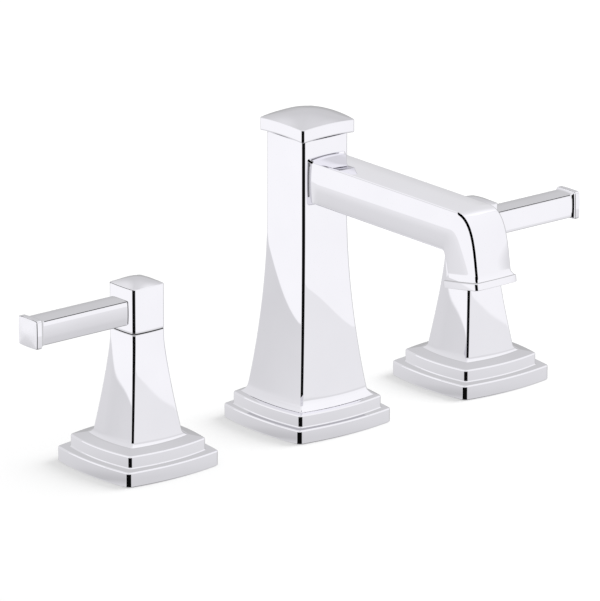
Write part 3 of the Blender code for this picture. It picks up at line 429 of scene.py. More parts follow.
def steer_normals(obj, steer):
    """Give an object the shading normals that a function makes of its own."""
    graph = bpy.context.evaluated_depsgraph_get()
    even = obj.evaluated_get(graph).to_mesh()
    places = [even.vertices[loop.vertex_index].co for loop in even.loops]
    normals = [steer(corner.vector.copy(), place) for corner, place in zip(even.corner_normals, places)]
    obj.modifiers.clear()
    obj.data.normals_split_custom_set(normals)
    return obj


def clamp(value, low=0, high=1):
    return min(max(value, low), high)


def lean(normal, across, along):
    """Lean a side's normal up, or down below zero: X sides by one amount, the -Y side by another."""
    upright = (1 - normal.z**2) ** 2
    normal.z += (across * normal.x**2 + along * min(normal.y, 0) ** 2) * upright
    return normal.normalized()


def on_corner(normal):
    return min(abs(normal.x), abs(normal.y)) > CORNER_START and abs(normal.z) < CORNER_STEEPEST


def dark_corner(normal, _=None):
    """Turn a rounded upright corner's normal down, so that the corner shows as a dark line."""
    if not on_corner(normal):
        return normal
    across = math.copysign(math.sqrt(0.5), normal.x)
    along = math.copysign(math.sqrt(0.5), normal.y)
    return Vector((across, along, -CORNER_DROP)).normalized()


def toward_card(side):
    """Normal with which a -X side mirrors the dark card, or its mirror image for a +X side."""
    return Vector((math.copysign(CARD_NORMAL[0], side), *CARD_NORMAL[1:])).normalized()


def dark_edge(normal, _=None):
    """Turn the upper edge of a -X side toward the dark card, as well as the upright corners down."""
    if normal.x < DARK_EDGE_SIDE and DARK_EDGE[0] < normal.z < DARK_EDGE[1]:
        return toward_card(-1)
    return dark_corner(normal)


def leaned(across, along):
    return lambda normal, _: dark_corner(lean(normal, across, along))


def bright_edge(normal):
    """Turn a rounded upper edge's normal outward, so that the edge shows as a bright line."""
    return Vector((normal.x, normal.y, BRIGHT_EDGE_LIFT)).normalized()


def drop_tone(place):
    """Lean of the outlet's -X side, which changes quickly across a slanted line."""
    edge = DROP_TONE_Y + DROP_TONE_SLOPE * (place.z - DROP_TONE_Z)
    split = clamp(ARM_TONE_LEAN - DROP_TONE_GRADIENT * (place.y - edge), *DROP_TONE_LIMITS)
    return lerp(ARM_LEANS[0], split, clamp((DROP_START - place.z) / DROP_BLEND))


def arm_steer(normal, place):
    """Lean the arm's sides, with dark lines at its root and bend and a bright upper edge."""
    if place.y > ARM_ROOT_END and normal.x < ARM_ROOT_SIDE and normal.z < EDGE_START:
        if place.z > ARM_ROOT_LINE_LOW and normal.y < ARM_ROOT_LINE_START:
            return Vector(ARM_ROOT_DARK).normalized()
        normal = Vector((-1, 0, 0))
    if normal.y < BEND_START and min(abs(normal.x), math.hypot(normal.y, normal.z)) > CORNER_START:
        return toward_card(normal.x)
    if normal.x < ARM_EDGE_SIDE and EDGE_START < normal.z < ARM_EDGE_END:
        return bright_edge(normal)
    return lean(normal, drop_tone(place) if normal.x < 0 else ARM_LEANS[0], ARM_LEANS[1])


def leaned_by_height(normal, place):
    """Lean a plate's side down, most at its foot, with bright edges and dark corners."""
    if EDGE_START < normal.z < PLATE_EDGE_END:
        return bright_edge(normal)
    amount = lerp(*PLATE_LEANS, place.z / PLATE_LEAN_HEIGHT)
    return dark_corner(lean(normal, amount, amount))


def steepness(terms, aside, limits):
    aside = clamp(aside, *limits)
    return terms[0] + terms[1] * aside + terms[2] * aside**2


def steepened(x_sides, y_sides, foot_height=0):
    """Scale how far a tapered column's sides lean, with dark corners.

    Below foot_height the -Y side leans up more. Without that height, no side leans up past
    FOOT_LIMIT.
    """

    def steer(normal, place):
        if on_corner(normal):
            return dark_corner(normal)
        if abs(normal.z) < STEEP_LIMIT:
            level = max(normal.x**2 + normal.y**2, 1e-9)
            on_x_side = steepness(x_sides, normal.y, X_SIDE_LIMITS)
            on_y_side = steepness(y_sides, normal.x, Y_SIDE_LIMITS)
            normal.z *= lerp(on_y_side, on_x_side, normal.x**2 / level)
            share = clamp((foot_height - place.z) / FOOT_BLEND)
            normal.z += FOOT_LEAN * share * min(normal.y, 0) ** 2
        if not foot_height:
            normal.z = min(normal.z, FOOT_LIMIT)
        return normal.normalized()

    return steer


def flattened(normal, _):
    """Bring the normals of an end face closer to straight out along X, with dark edges."""
    share = clamp((abs(normal.x) - END_FACE_START) / END_FACE_BLEND)
    scale = lerp(1, END_FACE_FLATNESS, share)
    return dark_edge(Vector((normal.x, normal.y * scale, normal.z * scale)).normalized())


# Base plates


def base_plate(name, centre, lower, upper, foot, tiers, rise, bore):
    """Two-tier plate with softly rounded edges and a slope up to the column, hollow from below."""
    low_tier, high_tier = tiers
    top = low_tier + high_tier
    plateau = top + rise
    outer = rounded_path(
        [
            (lower - PLATE_CHAMFER, 0),
            (lower, PLATE_CHAMFER),
            (lower, low_tier),
            (upper, low_tier),
            (upper, top),
            (foot + SLOPE_END, plateau),
            (foot - PLATEAU_REACH, plateau),
        ],
        PLATE_FILLETS,
    )
    rings = [square(p.x, PLATE_BOW, PLATE_CORNER * p.x / lower, p.y) for p in outer]
    rings.append(circle_like(rings[-1], bore, plateau))
    rings.append(circle_like(rings[-1], bore, top - PLATE_WALL))
    inner_upper = upper - PLATE_WALL
    inner_lower = lower - PLATE_WALL
    for half, z in (
        (inner_upper, top - PLATE_WALL),
        (inner_upper, low_tier - PLATE_WALL),
        (inner_lower, low_tier - PLATE_WALL),
        (inner_lower, 0),
    ):
        rings.append(square(half, PLATE_BOW, PLATE_CORNER * half / lower, z))
    bm = place(loft(rings), Matrix.Translation(centre))
    return steer_normals(make(name + "_shell", bm, name, STANDING, PLATE_SHARP_ANGLE), leaned_by_height)


# Tapered columns

TAPER_SPACING = 1.7


def flare(share, tail_share, end, power, lip, lip_power):
    """How far the column stands out at a share of its height: a long taper and a small foot."""
    taper = max(0, 1 - share / end) ** power
    foot = math.exp(-((share / lip) ** lip_power))
    return tail_share * taper + (1 - tail_share) * foot


def tapered(sizes, shape, low, high, inset, steps):
    """Sections of a tapered square column between two heights, closer together near the foot."""
    base, height, top_half, foot_half, top_bow, foot_bow, corner = sizes
    start = (low - base) / height
    stop = (high - base) / height
    rings = []
    for fraction in fractions(steps):
        share = lerp(start, stop, fraction**TAPER_SPACING)
        out = flare(share, *shape)
        half = lerp(top_half, foot_half, out) - inset
        rings.append(square(half, lerp(top_bow, foot_bow, out), corner, base + share * height))
    return rings


# Base, height, half widths at top and foot, bows at top and foot, corner radius
COLUMN_SIZES = (
    COLUMN_BASE - SEATED,
    COLUMN_HEIGHT + SEATED,
    COLUMN_TOP_HALF,
    COLUMN_FOOT_HALF,
    COLUMN_BOW,
    COLUMN_FOOT_BOW,
    COLUMN_CORNER,
)
TOWER_SIZES = (
    TOWER_BASE - SEATED,
    TOWER_HEIGHT + SEATED,
    TOWER_TOP_HALF,
    TOWER_FOOT_HALF,
    TOWER_BOW,
    TOWER_FOOT_BOW,
    TOWER_CORNER,
)
# Terms of flare() after the first
COLUMN_SHAPE = (0.794, 0.914, 1.257, 0.0127, 1.16)
TOWER_SHAPE = (0.787, 0.698, 1.885, 0.01, 1.25)


def column_shell(sizes, shape, wall, floor, ceiling, floor_hole, top_hole):
    """Hollow column with a rounded upper rim and a round hole in its floor and in its top."""
    base, height = sizes[:2]
    top = base + height
    outer = tapered(sizes, shape, base, top - RIM_EDGE, inset=0, steps=70)
    rim = square(sizes[2] - RIM_EDGE_MIDDLE, sizes[4], sizes[6], top - RIM_EDGE_MIDDLE)
    lip = square(sizes[2] - RIM_EDGE, sizes[4], sizes[6], top)
    rings = outer + [rim, lip]
    rings.append(circle_like(lip, top_hole, top))
    rings.append(circle_like(lip, top_hole, top - ceiling))
    rings += reversed(tapered(sizes, shape, base + floor, top - ceiling, inset=wall, steps=12))
    rings.append(circle_like(lip, floor_hole, base + floor))
    rings.append(circle_like(lip, floor_hole, base))
    return loft(rings)


# Domed tops

DOME_FILLET = 0.3 * MM
# Slope up to which a rim's point counts as the middle of a side
MIDDLE_SLOPE = 0.12


def dome_ring(ring, share):
    """A rim ring shrunk to a share of itself, rounder toward the middle."""
    points = []
    for point in ring:
        angle = math.atan2(point.y, point.x)
        reach = math.hypot(point.x, point.y)
        round_reach = min(abs(p.x) for p in ring if abs(p.y) < MIDDLE_SLOPE * abs(p.x))
        size = lerp(round_reach, reach, share * share) * share
        points.append(Vector((size * math.cos(angle), size * math.sin(angle), 0)))
    return points


def dome_rings(half, bow, corner, edge, crown, arch=0, steps=26, fillet=DOME_FILLET):
    """Sections over a rounded edge and up a square dome, and its tip."""
    slope = math.atan2(2 * crown, half)
    turn = math.pi / 2 - slope
    reach = fillet * math.tan(turn / 2)
    rings = []
    for fraction in fractions(6):
        angle = turn * fraction
        inset = fillet * (1 - math.cos(angle))
        rings.append(square(half - inset, bow, corner, edge - reach + fillet * math.sin(angle), arch))
    start = (half - fillet * (1 - math.cos(turn))) / half
    rim = outline(half, half, bow, bow, corner)
    plain = [Vector((u, v, 0)) for u, v, _ in rim]
    for fraction in fractions(steps)[1:-1]:
        share = start * (1 - fraction)
        ring = dome_ring(plain, share)
        for point, (_, _, bend) in zip(ring, rim):
            point.z = edge + crown * (1 - share * share) + arch * bend * share * share
        rings.append(ring)
    return rings, Vector((0, 0, edge + crown))


# Handles


def hub():
    """Square hub with a domed top and rounded lower edge."""
    low = HUB_BASE
    edge = low + HUB_HEIGHT
    rings = [
        square(COLUMN_TOP_HALF - RIM_EDGE, COLUMN_BOW, COLUMN_CORNER, low),
        square(COLUMN_TOP_HALF - RIM_EDGE_MIDDLE, COLUMN_BOW, COLUMN_CORNER, low + RIM_EDGE_MIDDLE),
        square(COLUMN_TOP_HALF, COLUMN_BOW, COLUMN_CORNER, low + RIM_EDGE),
    ]
    for share in fractions(30)[1:-1]:
        z = lerp(low + RIM_EDGE, edge - DOME_FILLET, share)
        rings.append(square(COLUMN_TOP_HALF, COLUMN_BOW, COLUMN_CORNER, z))
    top, tip = dome_rings(COLUMN_TOP_HALF, COLUMN_BOW, COLUMN_CORNER, edge, HUB_CROWN)
    return loft(rings + top, tip)


def drill(obj, radius, low, high, matrix):
    """Cut a round hole along the matrix's Z, before the normals are evened out."""
    bm = bmesh.new()
    bmesh.ops.create_cone(
        bm, cap_ends=True, segments=32, radius1=radius, radius2=radius, depth=high - low
    )
    bmesh.ops.translate(bm, verts=bm.verts, vec=(0, 0, (low + high) / 2))
    bmesh.ops.transform(bm, verts=bm.verts, matrix=matrix)
    bmesh.ops.recalc_face_normals(bm, faces=bm.faces)
    mesh = bpy.data.meshes.new("drill")
    bm.to_mesh(mesh)
    bm.free()
    tool = bpy.data.objects.new("drill", mesh)
    bpy.context.scene.collection.objects.link(tool)
    boolean = obj.modifiers.new("hole", "BOOLEAN")
    boolean.operation = "DIFFERENCE"
    boolean.solver = "EXACT"
    boolean.object = tool
    obj.modifiers["even"].show_viewport = False
    graph = bpy.context.evaluated_depsgraph_get()
    cut = bpy.data.meshes.new_from_object(obj.evaluated_get(graph))
    obj.modifiers.remove(boolean)
    obj.modifiers["even"].show_viewport = True
    obj.data = cut
    cut.set_sharp_from_angle(angle=math.radians(SHARP_ANGLE))
    bpy.data.objects.remove(tool)
    return obj


def bar_section(grow, reach):
    half_width, half_height = LEVER_HALF_WIDTH + grow, LEVER_HALF_HEIGHT + grow
    points = outline(half_width, half_height, LEVER_BOW, LEVER_BOW, LEVER_CORNER)
    return [Vector((reach, u, LEVER_Z + v)) for u, v, _ in points]


def lever():
    """Square lever arm, slightly wider where it meets its end cap."""
    root = LEVER_START + LEVER_CHAMFER
    straight = LEVER_END - LEVER_FLARE_LENGTH
    rings = [bar_section(-LEVER_CHAMFER, LEVER_START), bar_section(0, root)]
    for share in fractions(40)[1:]:
        rings.append(bar_section(0, lerp(root, straight, share)))
    for share in fractions(8)[1:]:
        rings.append(bar_section(LEVER_FLARE * share**2, straight + LEVER_FLARE_LENGTH * share))
    return loft(rings, "cap")


def lever_cap():
    """Square end cap with a pillow face."""
    half, bow, corner, crown = 6.5 * MM, 0.45 * MM, 1.0 * MM, 1.0 * MM
    thickness, near_fillet, far_fillet = 2.8 * MM, 0.25 * MM, 0.45 * MM
    start = LEVER_END + FIT_GAP
    edge = start + thickness
    side = [(half - 0.4 * MM, start), (half, start), (half, edge - 0.5 * MM)]
    path = rounded_path(side, [near_fillet])
    rings = [square(p.x, bow * p.x / half, corner, p.y) for p in path]
    top, tip = dome_rings(half, bow, corner, edge, crown, fillet=far_fillet, steps=16)
    turn = Matrix.Translation((0, 0, LEVER_Z)) @ Matrix.Rotation(math.pi / 2, 4, "Y")
    return place(loft(rings + top, tip), turn)


def painted_edge_reflection():
    """Painted reflection: dark lines along the lever's two top edges, where the chrome would mirror
    something dark.
    """
    bm = bmesh.new()
    reach = LEVER_HALF_WIDTH - LEVER_CORNER * math.sqrt(0.5)
    height = LEVER_HALF_HEIGHT - LEVER_CORNER * math.sqrt(0.5)
    angles = range(24, 61, 6)
    arc = [(angle, LEVER_CORNER + LINE_PROUD) for angle in angles]
    arc += [(angle, LEVER_CORNER - LINE_DEPTH) for angle in reversed(angles)]
    for side in (-1, 1):
        rows = []
        for x in (LEVER_START + LINE_INSET, LEVER_END - LINE_END_INSET):
            row = []
            for angle, radius in arc:
                y = side * (reach + radius * math.cos(math.radians(angle)))
                z = LEVER_Z + height + radius * math.sin(math.radians(angle))
                row.append(bm.verts.new((x, y, z)))
            rows.append(row)
        for a in range(len(arc)):
            b = (a + 1) % len(arc)
            bm.faces.new((rows[0][a], rows[0][b], rows[1][b], rows[1][a]))
        bm.faces.new(rows[0])
        bm.faces.new(rows[1])
    bmesh.ops.recalc_face_normals(bm, faces=bm.faces)
    return bm


def painted_seam_shade():
    """Painted shade: a dark ring in the narrow joint between column and hub."""
    rings = []
    for z in (COLUMN_TOP + SEAM_CLEARANCE, HUB_BASE - SEAM_CLEARANCE):
        rings.append(square(COLUMN_TOP_HALF - SEAM_DEPTH, COLUMN_BOW, COLUMN_CORNER, z))
    for ring in rings[::-1]:
        rings.append(circle_like(ring, SEAM_HOLE, ring[0].z))
    return loft(rings)


def lever_root_painted_shade():
    """Painted shade: a dark line in the narrow joint between hub and lever."""
    far = bar_section(-SEAM_DEPTH, LEVER_START - SEAM_CLEARANCE)
    near = []
    for point in far:
        face = COLUMN_TOP_HALF + COLUMN_BOW * (1 - (point.y / COLUMN_TOP_HALF) ** 2)
        near.append(Vector((face + SEAM_CLEARANCE, point.y, point.z)))
    return loft([near, far], "cap")


def handle(label, side):
    """One handle's chrome pieces, with the lever along +X on the right and -X on the left."""
    turn = Matrix.Rotation(0 if side > 0 else math.pi, 4, "Z")
    unit = Matrix.Translation((side * HANDLE_OFFSET, 0, 0)) @ turn
    body = f"{label}_handle"
    base_plate(
        f"{label}_base_plate",
        (side * HANDLE_OFFSET, 0, 0),
        lower=26.2 * MM,
        upper=22.0 * MM,
        foot=COLUMN_FOOT_HALF,
        tiers=(7.4 * MM, 5.8 * MM),
        rise=1.4 * MM,
        bore=COLUMN_BORE,
    )
    column = column_shell(
        COLUMN_SIZES,
        COLUMN_SHAPE,
        wall=1.7 * MM,
        floor=2.0 * MM,
        ceiling=2.4 * MM,
        floor_hole=COLUMN_BORE,
        top_hole=6.9 * MM,
    )
    standing = make(f"{label}_column_shell", place(column, unit), f"{label}_column", STANDING)
    steer_normals(standing, steepened(*COLUMN_STEEPNESS[label]))
    made = make(f"{label}_hub_shell", place(hub(), unit), f"{label}_hub", body)
    back = Matrix.Translation((side * HANDLE_OFFSET, 0, HUB_BASE + SCREW_HEIGHT))
    back @= Matrix.Rotation(-math.pi / 2, 4, "X")
    steer_normals(drill(made, SCREW_HOLE, low=5.0 * MM, high=12 * MM, matrix=back), dark_edge)
    made = make(f"{label}_lever_arm", place(lever(), unit), f"{label}_lever", body)
    steer_normals(made, leaned(*LEVER_LEANS[label]))
    end = make(f"{label}_lever_end", place(lever_cap(), unit), f"{label}_lever_cap", body)
    steer_normals(end, flattened)
    end.data.materials.append(SOFT_CHROME)
    for face in end.data.polygons:
        face.material_index = int(abs(face.normal.x) > END_FACE_SOFT)
    # Rubber strips that paint a dark reflection along the lever's top edges
    make(f"{label}_lever_lines", place(painted_edge_reflection(), unit), None, body, finish="rubber")
    # Rubber piece that paints the shade in the joint at the lever's root
    make(f"{label}_lever_root", place(lever_root_painted_shade(), unit), None, body, finish="rubber")
    # Rubber ring that paints the shade in the joint under the hub
    make(f"{label}_hub_seam", place(painted_seam_shade(), unit), None, STANDING, finish="rubber")


# Spout

# Edges of the elbow: start behind the outlet's end, and how far both ends pull the curve
ELBOW_OUTER = (15.0 * MM, 0.807, 0.453)
ELBOW_INNER = (3.6 * MM, 0.333, 0.49)


def bezier(a, b, c, d, share):
    rest = 1 - share
    return a * rest**3 + b * 3 * rest**2 * share + c * 3 * rest * share**2 + d * share**3


def bend_curve(start, end, level_share, drop_share, share):
    pull = Vector((0, (end.y - start.y) * level_share, 0))
    drop = OUTLET_UP * (start.z - end.z) * drop_share
    return bezier(start, start + pull, end + drop, end, share)


def elbow_edges(share):
    """Outer and inner edge of the arm's side view, from the level arm to the top of the cove."""
    end = OUTLET + OUTLET_UP * (COLLAR_THICKNESS + FIT_GAP + COVE_HEIGHT)
    outer_end = end - OUTLET_BACK * DROP_HALF_DEPTH
    inner_end = end + OUTLET_BACK * DROP_HALF_DEPTH
    top = ARM_TOP - ARM_DROOP
    outer_start = Vector((0, outer_end.y + ELBOW_OUTER[0], top))
    inner_start = Vector((0, inner_end.y + ELBOW_INNER[0], top - ARM_DEPTH))
    return (
        bend_curve(outer_start, outer_end, *ELBOW_OUTER[1:], share),
        bend_curve(inner_start, inner_end, *ELBOW_INNER[1:], share),
    )


def arm_section(outer, inner, grow):
    across = (outer - inner).normalized()
    half = (outer - inner).length / 2 + grow
    points = outline(ARM_HALF_WIDTH + grow, half, ARM_SIDE_BOW, ARM_TOP_BOW, ARM_CORNER)
    centre = (outer + inner) / 2
    return [centre + Vector((1, 0, 0)) * u + across * v for u, v, _ in points]


def level_edges(y, droop):
    top = ARM_TOP - ARM_DROOP * droop
    return Vector((0, y, top)), Vector((0, y, top - ARM_DEPTH))


def arm_rings(grow, start):
    """Sections of the level arm and the elbow."""
    elbow = elbow_edges(0)
    middle = (elbow[0].y + elbow[1].y) / 2
    rings = []
    for share in fractions(25)[:-1]:
        rings.append(arm_section(*level_edges(lerp(start, middle, share), share), grow))
    for share in fractions(48):
        rings.append(arm_section(*elbow_edges(share), grow))
    return rings


def arm():
    """Hollow arm with a small flare at the tower's face and a cove above the collar."""
    face = -TOWER_TOP_HALF - TOWER_BOW
    rings = [arm_section(*level_edges(face + ARM_SEAT, 0), ARM_FLARE)]
    for share in fractions(10):
        edges = level_edges(face - ARM_FLARE_LENGTH * share, 0)
        rings.append(arm_section(*edges, ARM_FLARE * (1 - share) ** ARM_FLARE_POWER))
    rings += arm_rings(0, face - ARM_FLARE_LENGTH)[1:]
    outer, inner = elbow_edges(1)
    for share in fractions(10)[1:]:
        shift = OUTLET_UP * COVE_HEIGHT * share
        rings.append(arm_section(outer - shift, inner - shift, COVE_FLARE * share**COVE_POWER))
    shift = OUTLET_UP * COVE_HEIGHT
    rings.append(arm_section(outer - shift, inner - shift, -ARM_WALL))
    rings += reversed(arm_rings(-ARM_WALL, face)[::4])
    return loft(rings)


def spout_body():
    """Tower and arm of the casting, which meet inside the tower's wall."""
    tower = column_shell(
        TOWER_SIZES,
        TOWER_SHAPE,
        wall=2.2 * MM,
        floor=5.0 * MM,
        ceiling=3.0 * MM,
        floor_hole=TOWER_BORE,
        top_hole=8.3 * MM,
    )
    made = make("spout_tower", tower, "spout_body", STANDING, mirrored=True)
    steer_normals(made, steepened(*TOWER_STEEPNESS, TOWER_FOOT_HEIGHT))
    made = make("spout_arm", arm(), "spout_body", STANDING)
    return steer_normals(made, arm_steer)


def spout_cap():
    """Domed cap with arched edges over the tower, with a plug below."""
    half, bow, corner, arch = 15.5 * MM, 1.0 * MM, 1.2 * MM, 0.9 * MM
    thickness, crown, fillet_middle = 6.0 * MM, 4.7 * MM, 0.08 * MM
    plug, plug_depth = 8.0 * MM, 7.0 * MM
    base = TOWER_TOP + FIT_GAP
    edge = base + thickness
    seat = square(TOWER_TOP_HALF, TOWER_BOW, TOWER_CORNER, base)
    rings = [circle_like(seat, plug, base - plug_depth), circle_like(seat, plug, base), seat]
    rings.append(square(half - DOME_FILLET, bow, corner, base, arch))
    rings.append(square(half - fillet_middle, bow, corner, base + fillet_middle, arch))
    for share in fractions(12)[:-1]:
        z = lerp(base + DOME_FILLET, edge - DOME_FILLET, share)
        rings.append(square(half, bow, corner, z, arch))
    top, tip = dome_rings(half, bow, corner, edge, crown, arch)
    made = make("spout_cap_shell", loft(rings + top, tip), "spout_cap", STANDING, mirrored=True)
    return steer_normals(made, dark_corner)


def outlet_collar():
    """Square collar with a round hole for the aerator."""
    width, depth, bow, corner = 12.0 * MM, 11.4 * MM, 0.8 * MM, 1.6 * MM
    inset, fillet, hole, countersink = 0.5 * MM, 0.3 * MM, 8.3 * MM, 0.2 * MM
    path = rounded_path(
        [(-inset, 0), (0, 0), (0, COLLAR_THICKNESS), (-inset, COLLAR_THICKNESS)], [fillet, fillet]
    )
    rings = []
    for p in path:
        points = outline(width + p.x, depth + p.x, bow, bow, corner)
        rings.append([Vector((u, v, p.y)) for u, v, _ in points])
    for radius, z in ((hole, COLLAR_THICKNESS), (hole, countersink), (hole + countersink, 0)):
        rings.append(circle_like(rings[-1], radius, z))
    frame_at_outlet = Matrix.Translation(OUTLET) @ Matrix.Rotation(-OUTLET_LEAN, 4, "X")
    made = make("outlet_collar_ring", place(loft(rings), frame_at_outlet), "outlet_collar", STANDING)
    return steer_normals(made, leaned(*COLLAR_LEANS))


base_plate(
    "spout_base_plate",
    (0, 0, 0),
    lower=27.6 * MM,
    upper=24.5 * MM,
    foot=TOWER_FOOT_HALF,
    tiers=(7.0 * MM, 5.9 * MM),
    rise=0.5 * MM,
    bore=TOWER_BORE,
)
arm_piece = spout_body()
spout_cap()
outlet_collar()
handle("left", -1)
handle("right", 1)


# Floor, light and camera

FLOOR_REACH = 30
FLOOR_TONE = 0.4
FLOOR_GLOW = 0.43


def floor():
    """Pale floor that takes part of its brightness from its own glow, so that shadows stay light."""
    mesh = bpy.data.meshes.new("floor")
    corners = [(x * FLOOR_REACH, y * FLOOR_REACH, 0) for x, y in ((-1, -1), (1, -1), (1, 1), (-1, 1))]
    mesh.from_pydata(corners, [], [(0, 1, 2, 3)])
    made, _, shader = nodes_of("pale_floor")
    shader.inputs["Base Color"].default_value = (FLOOR_TONE, FLOOR_TONE, FLOOR_TONE, 1)
    shader.inputs["Roughness"].default_value = 0.9
    shader.inputs["Specular IOR Level"].default_value = 0
    shader.inputs["Emission Color"].default_value = (1, 1, 1, 1)
    shader.inputs["Emission Strength"].default_value = FLOOR_GLOW
    mesh.materials.append(made)
    obj = bpy.data.objects.new("floor", mesh)
    bpy.context.scene.collection.objects.link(obj)
    obj.visible_glossy = False
    return obj


# The reflected room: brightness by elevation, in degrees, on three sides of the faucet
DARK_RING = ((-68, 0.6), (-64, 0.004), (-54, 0.004))
ROOM_LEFT = (
    *DARK_RING, (-46, 0.78), (-27.5, 0.79), (-26, 0.56), (-25.3, 0.6), (-24.95, 0.63),
    (-24.65, 0.67), (-24, 0.705), (-23, 0.73), (-21.8, 0.76), (-20.2, 0.785), (-19.5, 0.82),
    (-18.8, 0.86), (-17.9, 0.895), (-17, 0.8), (-12, 0.74), (-8, 0.725), (-3, 0.735), (4, 0.765),
    (8, 0.79), (18, 0.82), (30, 0.82), (40, 0.84), (48, 0.88), (68, 0.95),
)
ROOM_RIGHT = (
    *DARK_RING, (-46, 0.62), (-31, 0.68), (-28.4, 0.7), (-26.9, 0.705), (-26, 0.735), (-25, 0.763),
    (-23.75, 0.78), (-22.5, 0.797), (-20.4, 0.83), (-18.4, 0.866), (-17, 0.89), (10, 0.89),
    (13, 0.8), (20, 0.8), (23, 1.0), (60, 1.05),
)
ROOM_BACK = (
    *DARK_RING, (-46, 0.72), (-40, 0.7), (-34, 0.65), (-25, 0.58), (-19, 0.52), (-8, 0.46),
    (2, 0.5), (9, 0.55), (16, 0.63), (26, 0.65), (34, 0.655), (40, 0.68), (48, 0.72), (56, 0.78),
    (68, 0.9),
)
# Upper edge of the bright band above the floor: degrees of turn, and degrees below BAND_TOP
BAND_TOP = 10
BAND_LEFT = (
    (-130, 27.7), (-120, 27.5), (-116, 27.24), (-112, 25.01), (-108, 22.82), (-104, 20.69),
    (-100, 18.65), (-96, 16.71), (-92, 14.88), (-88, 13.16), (-84, 11.56), (-80, 10.08), (-76, 8.7),
    (-72, 7.4), (-68, 6.2),
)
BAND_RIGHT = (
    (53, 20.8), (56, 19.84), (61, 18.23), (66, 16.78), (71, 15.49), (76, 14.35), (81, 13.36),
    (86, 12.53), (91, 11.84), (96, 11.29), (101, 10.9),
)
BAND_SCALE = 30
BAND_FLOOR = -17.75
BAND_SOFT = 0.15
# Turns at which the bands begin and end, and their brightness
BANDS = ((BAND_LEFT, (-30, -40), 1.03), (BAND_RIGHT, (30, 40), 1.01))
BAND_END = (138, 128)
# Turns over which left goes over to right, and both to the back
SIDES_BLEND = (-20, 20)
BACK_BLENDS = ((128, 165), (-150, -172))
# Dark card at the front left: limits of its turn and its rise, in degrees
CARD_TURN = (-24, -12)
CARD_RISE = (10, 23)
# Directions from which the turn is measured
ROOM_FRONT = Vector((-0.64, -0.768, 0))
ROOM_SIDE = Vector((0.768, -0.64, 0))


class Room:
    """Builds the node network of the room around the faucet."""

    def __init__(self, tree):
        self.tree = tree
        where = tree.nodes.new("ShaderNodeTexCoord")
        self.direction = where.outputs["Generated"]
        turn = self.math("ARCTAN2", self.dot(ROOM_SIDE), self.dot(ROOM_FRONT))
        self.turn = self.math("MULTIPLY", turn, math.degrees(1))
        height = self.math("ARCSINE", self.dot(Vector((0, 0, 1))))
        self.rise = self.math("MULTIPLY", height, math.degrees(1))

    def dot(self, axis):
        node = self.tree.nodes.new("ShaderNodeVectorMath")
        node.operation = "DOT_PRODUCT"
        self.tree.links.new(self.direction, node.inputs[0])
        node.inputs[1].default_value = axis
        return node.outputs["Value"]

    def math(self, operation, first, second=None):
        node = self.tree.nodes.new("ShaderNodeMath")
        node.operation = operation
        for socket, value in zip(node.inputs, (first, second)):
            if isinstance(value, (int, float)):
                socket.default_value = value
            elif value is not None:
                self.tree.links.new(value, socket)
        return node.outputs["Value"]

    def step(self, value, low, high):
        """Soft step from 0 at low to 1 at high; falls when low is above high."""
        node = self.tree.nodes.new("ShaderNodeMapRange")
        node.interpolation_type = "SMOOTHSTEP"
        node.inputs["From Min"].default_value = min(low, high)
        node.inputs["From Max"].default_value = max(low, high)
        node.inputs["To Min"].default_value = 0 if low < high else 1
        node.inputs["To Max"].default_value = 1 if low < high else 0
        self.tree.links.new(value, node.inputs["Value"])
        return node.outputs["Result"]

    def between(self, value, limits, soft=1):
        """Soft mask that is 1 between two limits."""
        low, high = limits
        rising = self.step(value, low - soft, low + soft)
        return self.every(rising, self.step(value, high + soft, high - soft))

    def every(self, *masks):
        """Mask that is 1 where each of the masks is 1."""
        made = masks[0]
        for mask in masks[1:]:
            made = self.math("MULTIPLY", made, mask)
        return made

    def curve(self, value, steps, scale=1):
        """Value read from a table of positions and results; no result is negative."""
        low, high = steps[0][0], steps[-1][0]
        share = self.tree.nodes.new("ShaderNodeMapRange")
        share.inputs["From Min"].default_value = low
        share.inputs["From Max"].default_value = high
        self.tree.links.new(value, share.inputs["Value"])
        node = self.tree.nodes.new("ShaderNodeValToRGB")
        stops = node.color_ramp.elements
        while len(stops) < len(steps):
            stops.new(0.5)
        for stop, (position, result) in zip(stops, steps):
            stop.position = (position - low) / (high - low)
            stop.color = (result / scale, result / scale, result / scale, 1)
        self.tree.links.new(share.outputs["Result"], node.inputs["Fac"])
        return self.math("MULTIPLY", node.outputs["Color"], scale)

    def mix(self, mask, first, second):
        node = self.tree.nodes.new("ShaderNodeMix")
        node.data_type = "FLOAT"
        self.tree.links.new(mask, node.inputs["Factor"])
        for socket, value in ((node.inputs["A"], first), (node.inputs["B"], second)):
            if isinstance(value, (int, float)):
                socket.default_value = value
            else:
                self.tree.links.new(value, socket)
        return node.outputs["Result"]


def room_brightness(tree):
    """Grey room with a bright band low on both sides, a dark ring far below and a small dark card."""
    room = Room(tree)
    aside = room.math("ABSOLUTE", room.turn)
    left = room.curve(room.rise, ROOM_LEFT)
    right = room.curve(room.rise, ROOM_RIGHT)
    back = room.curve(room.rise, ROOM_BACK)
    sides = room.mix(room.step(room.turn, *SIDES_BLEND), left, right)
    behind = room.math("MAXIMUM", *(room.step(room.turn, *blend) for blend in BACK_BLENDS))
    value = room.mix(behind, sides, back)
    for edge, start, bright in BANDS:
        below_top = room.math("ADD", room.rise, room.curve(room.turn, edge, BAND_SCALE))
        above_edge = room.math("SUBTRACT", below_top, BAND_TOP)
        band = room.every(
            room.step(above_edge, BAND_SOFT, -BAND_SOFT),
            room.step(room.rise, BAND_FLOOR - BAND_SOFT, BAND_FLOOR + BAND_SOFT),
            room.step(room.turn, *start),
            room.step(aside, *BAND_END),
        )
        value = room.mix(band, value, bright)
    card = room.every(room.between(room.turn, CARD_TURN), room.between(room.rise, CARD_RISE))
    return room.mix(card, value, 0)


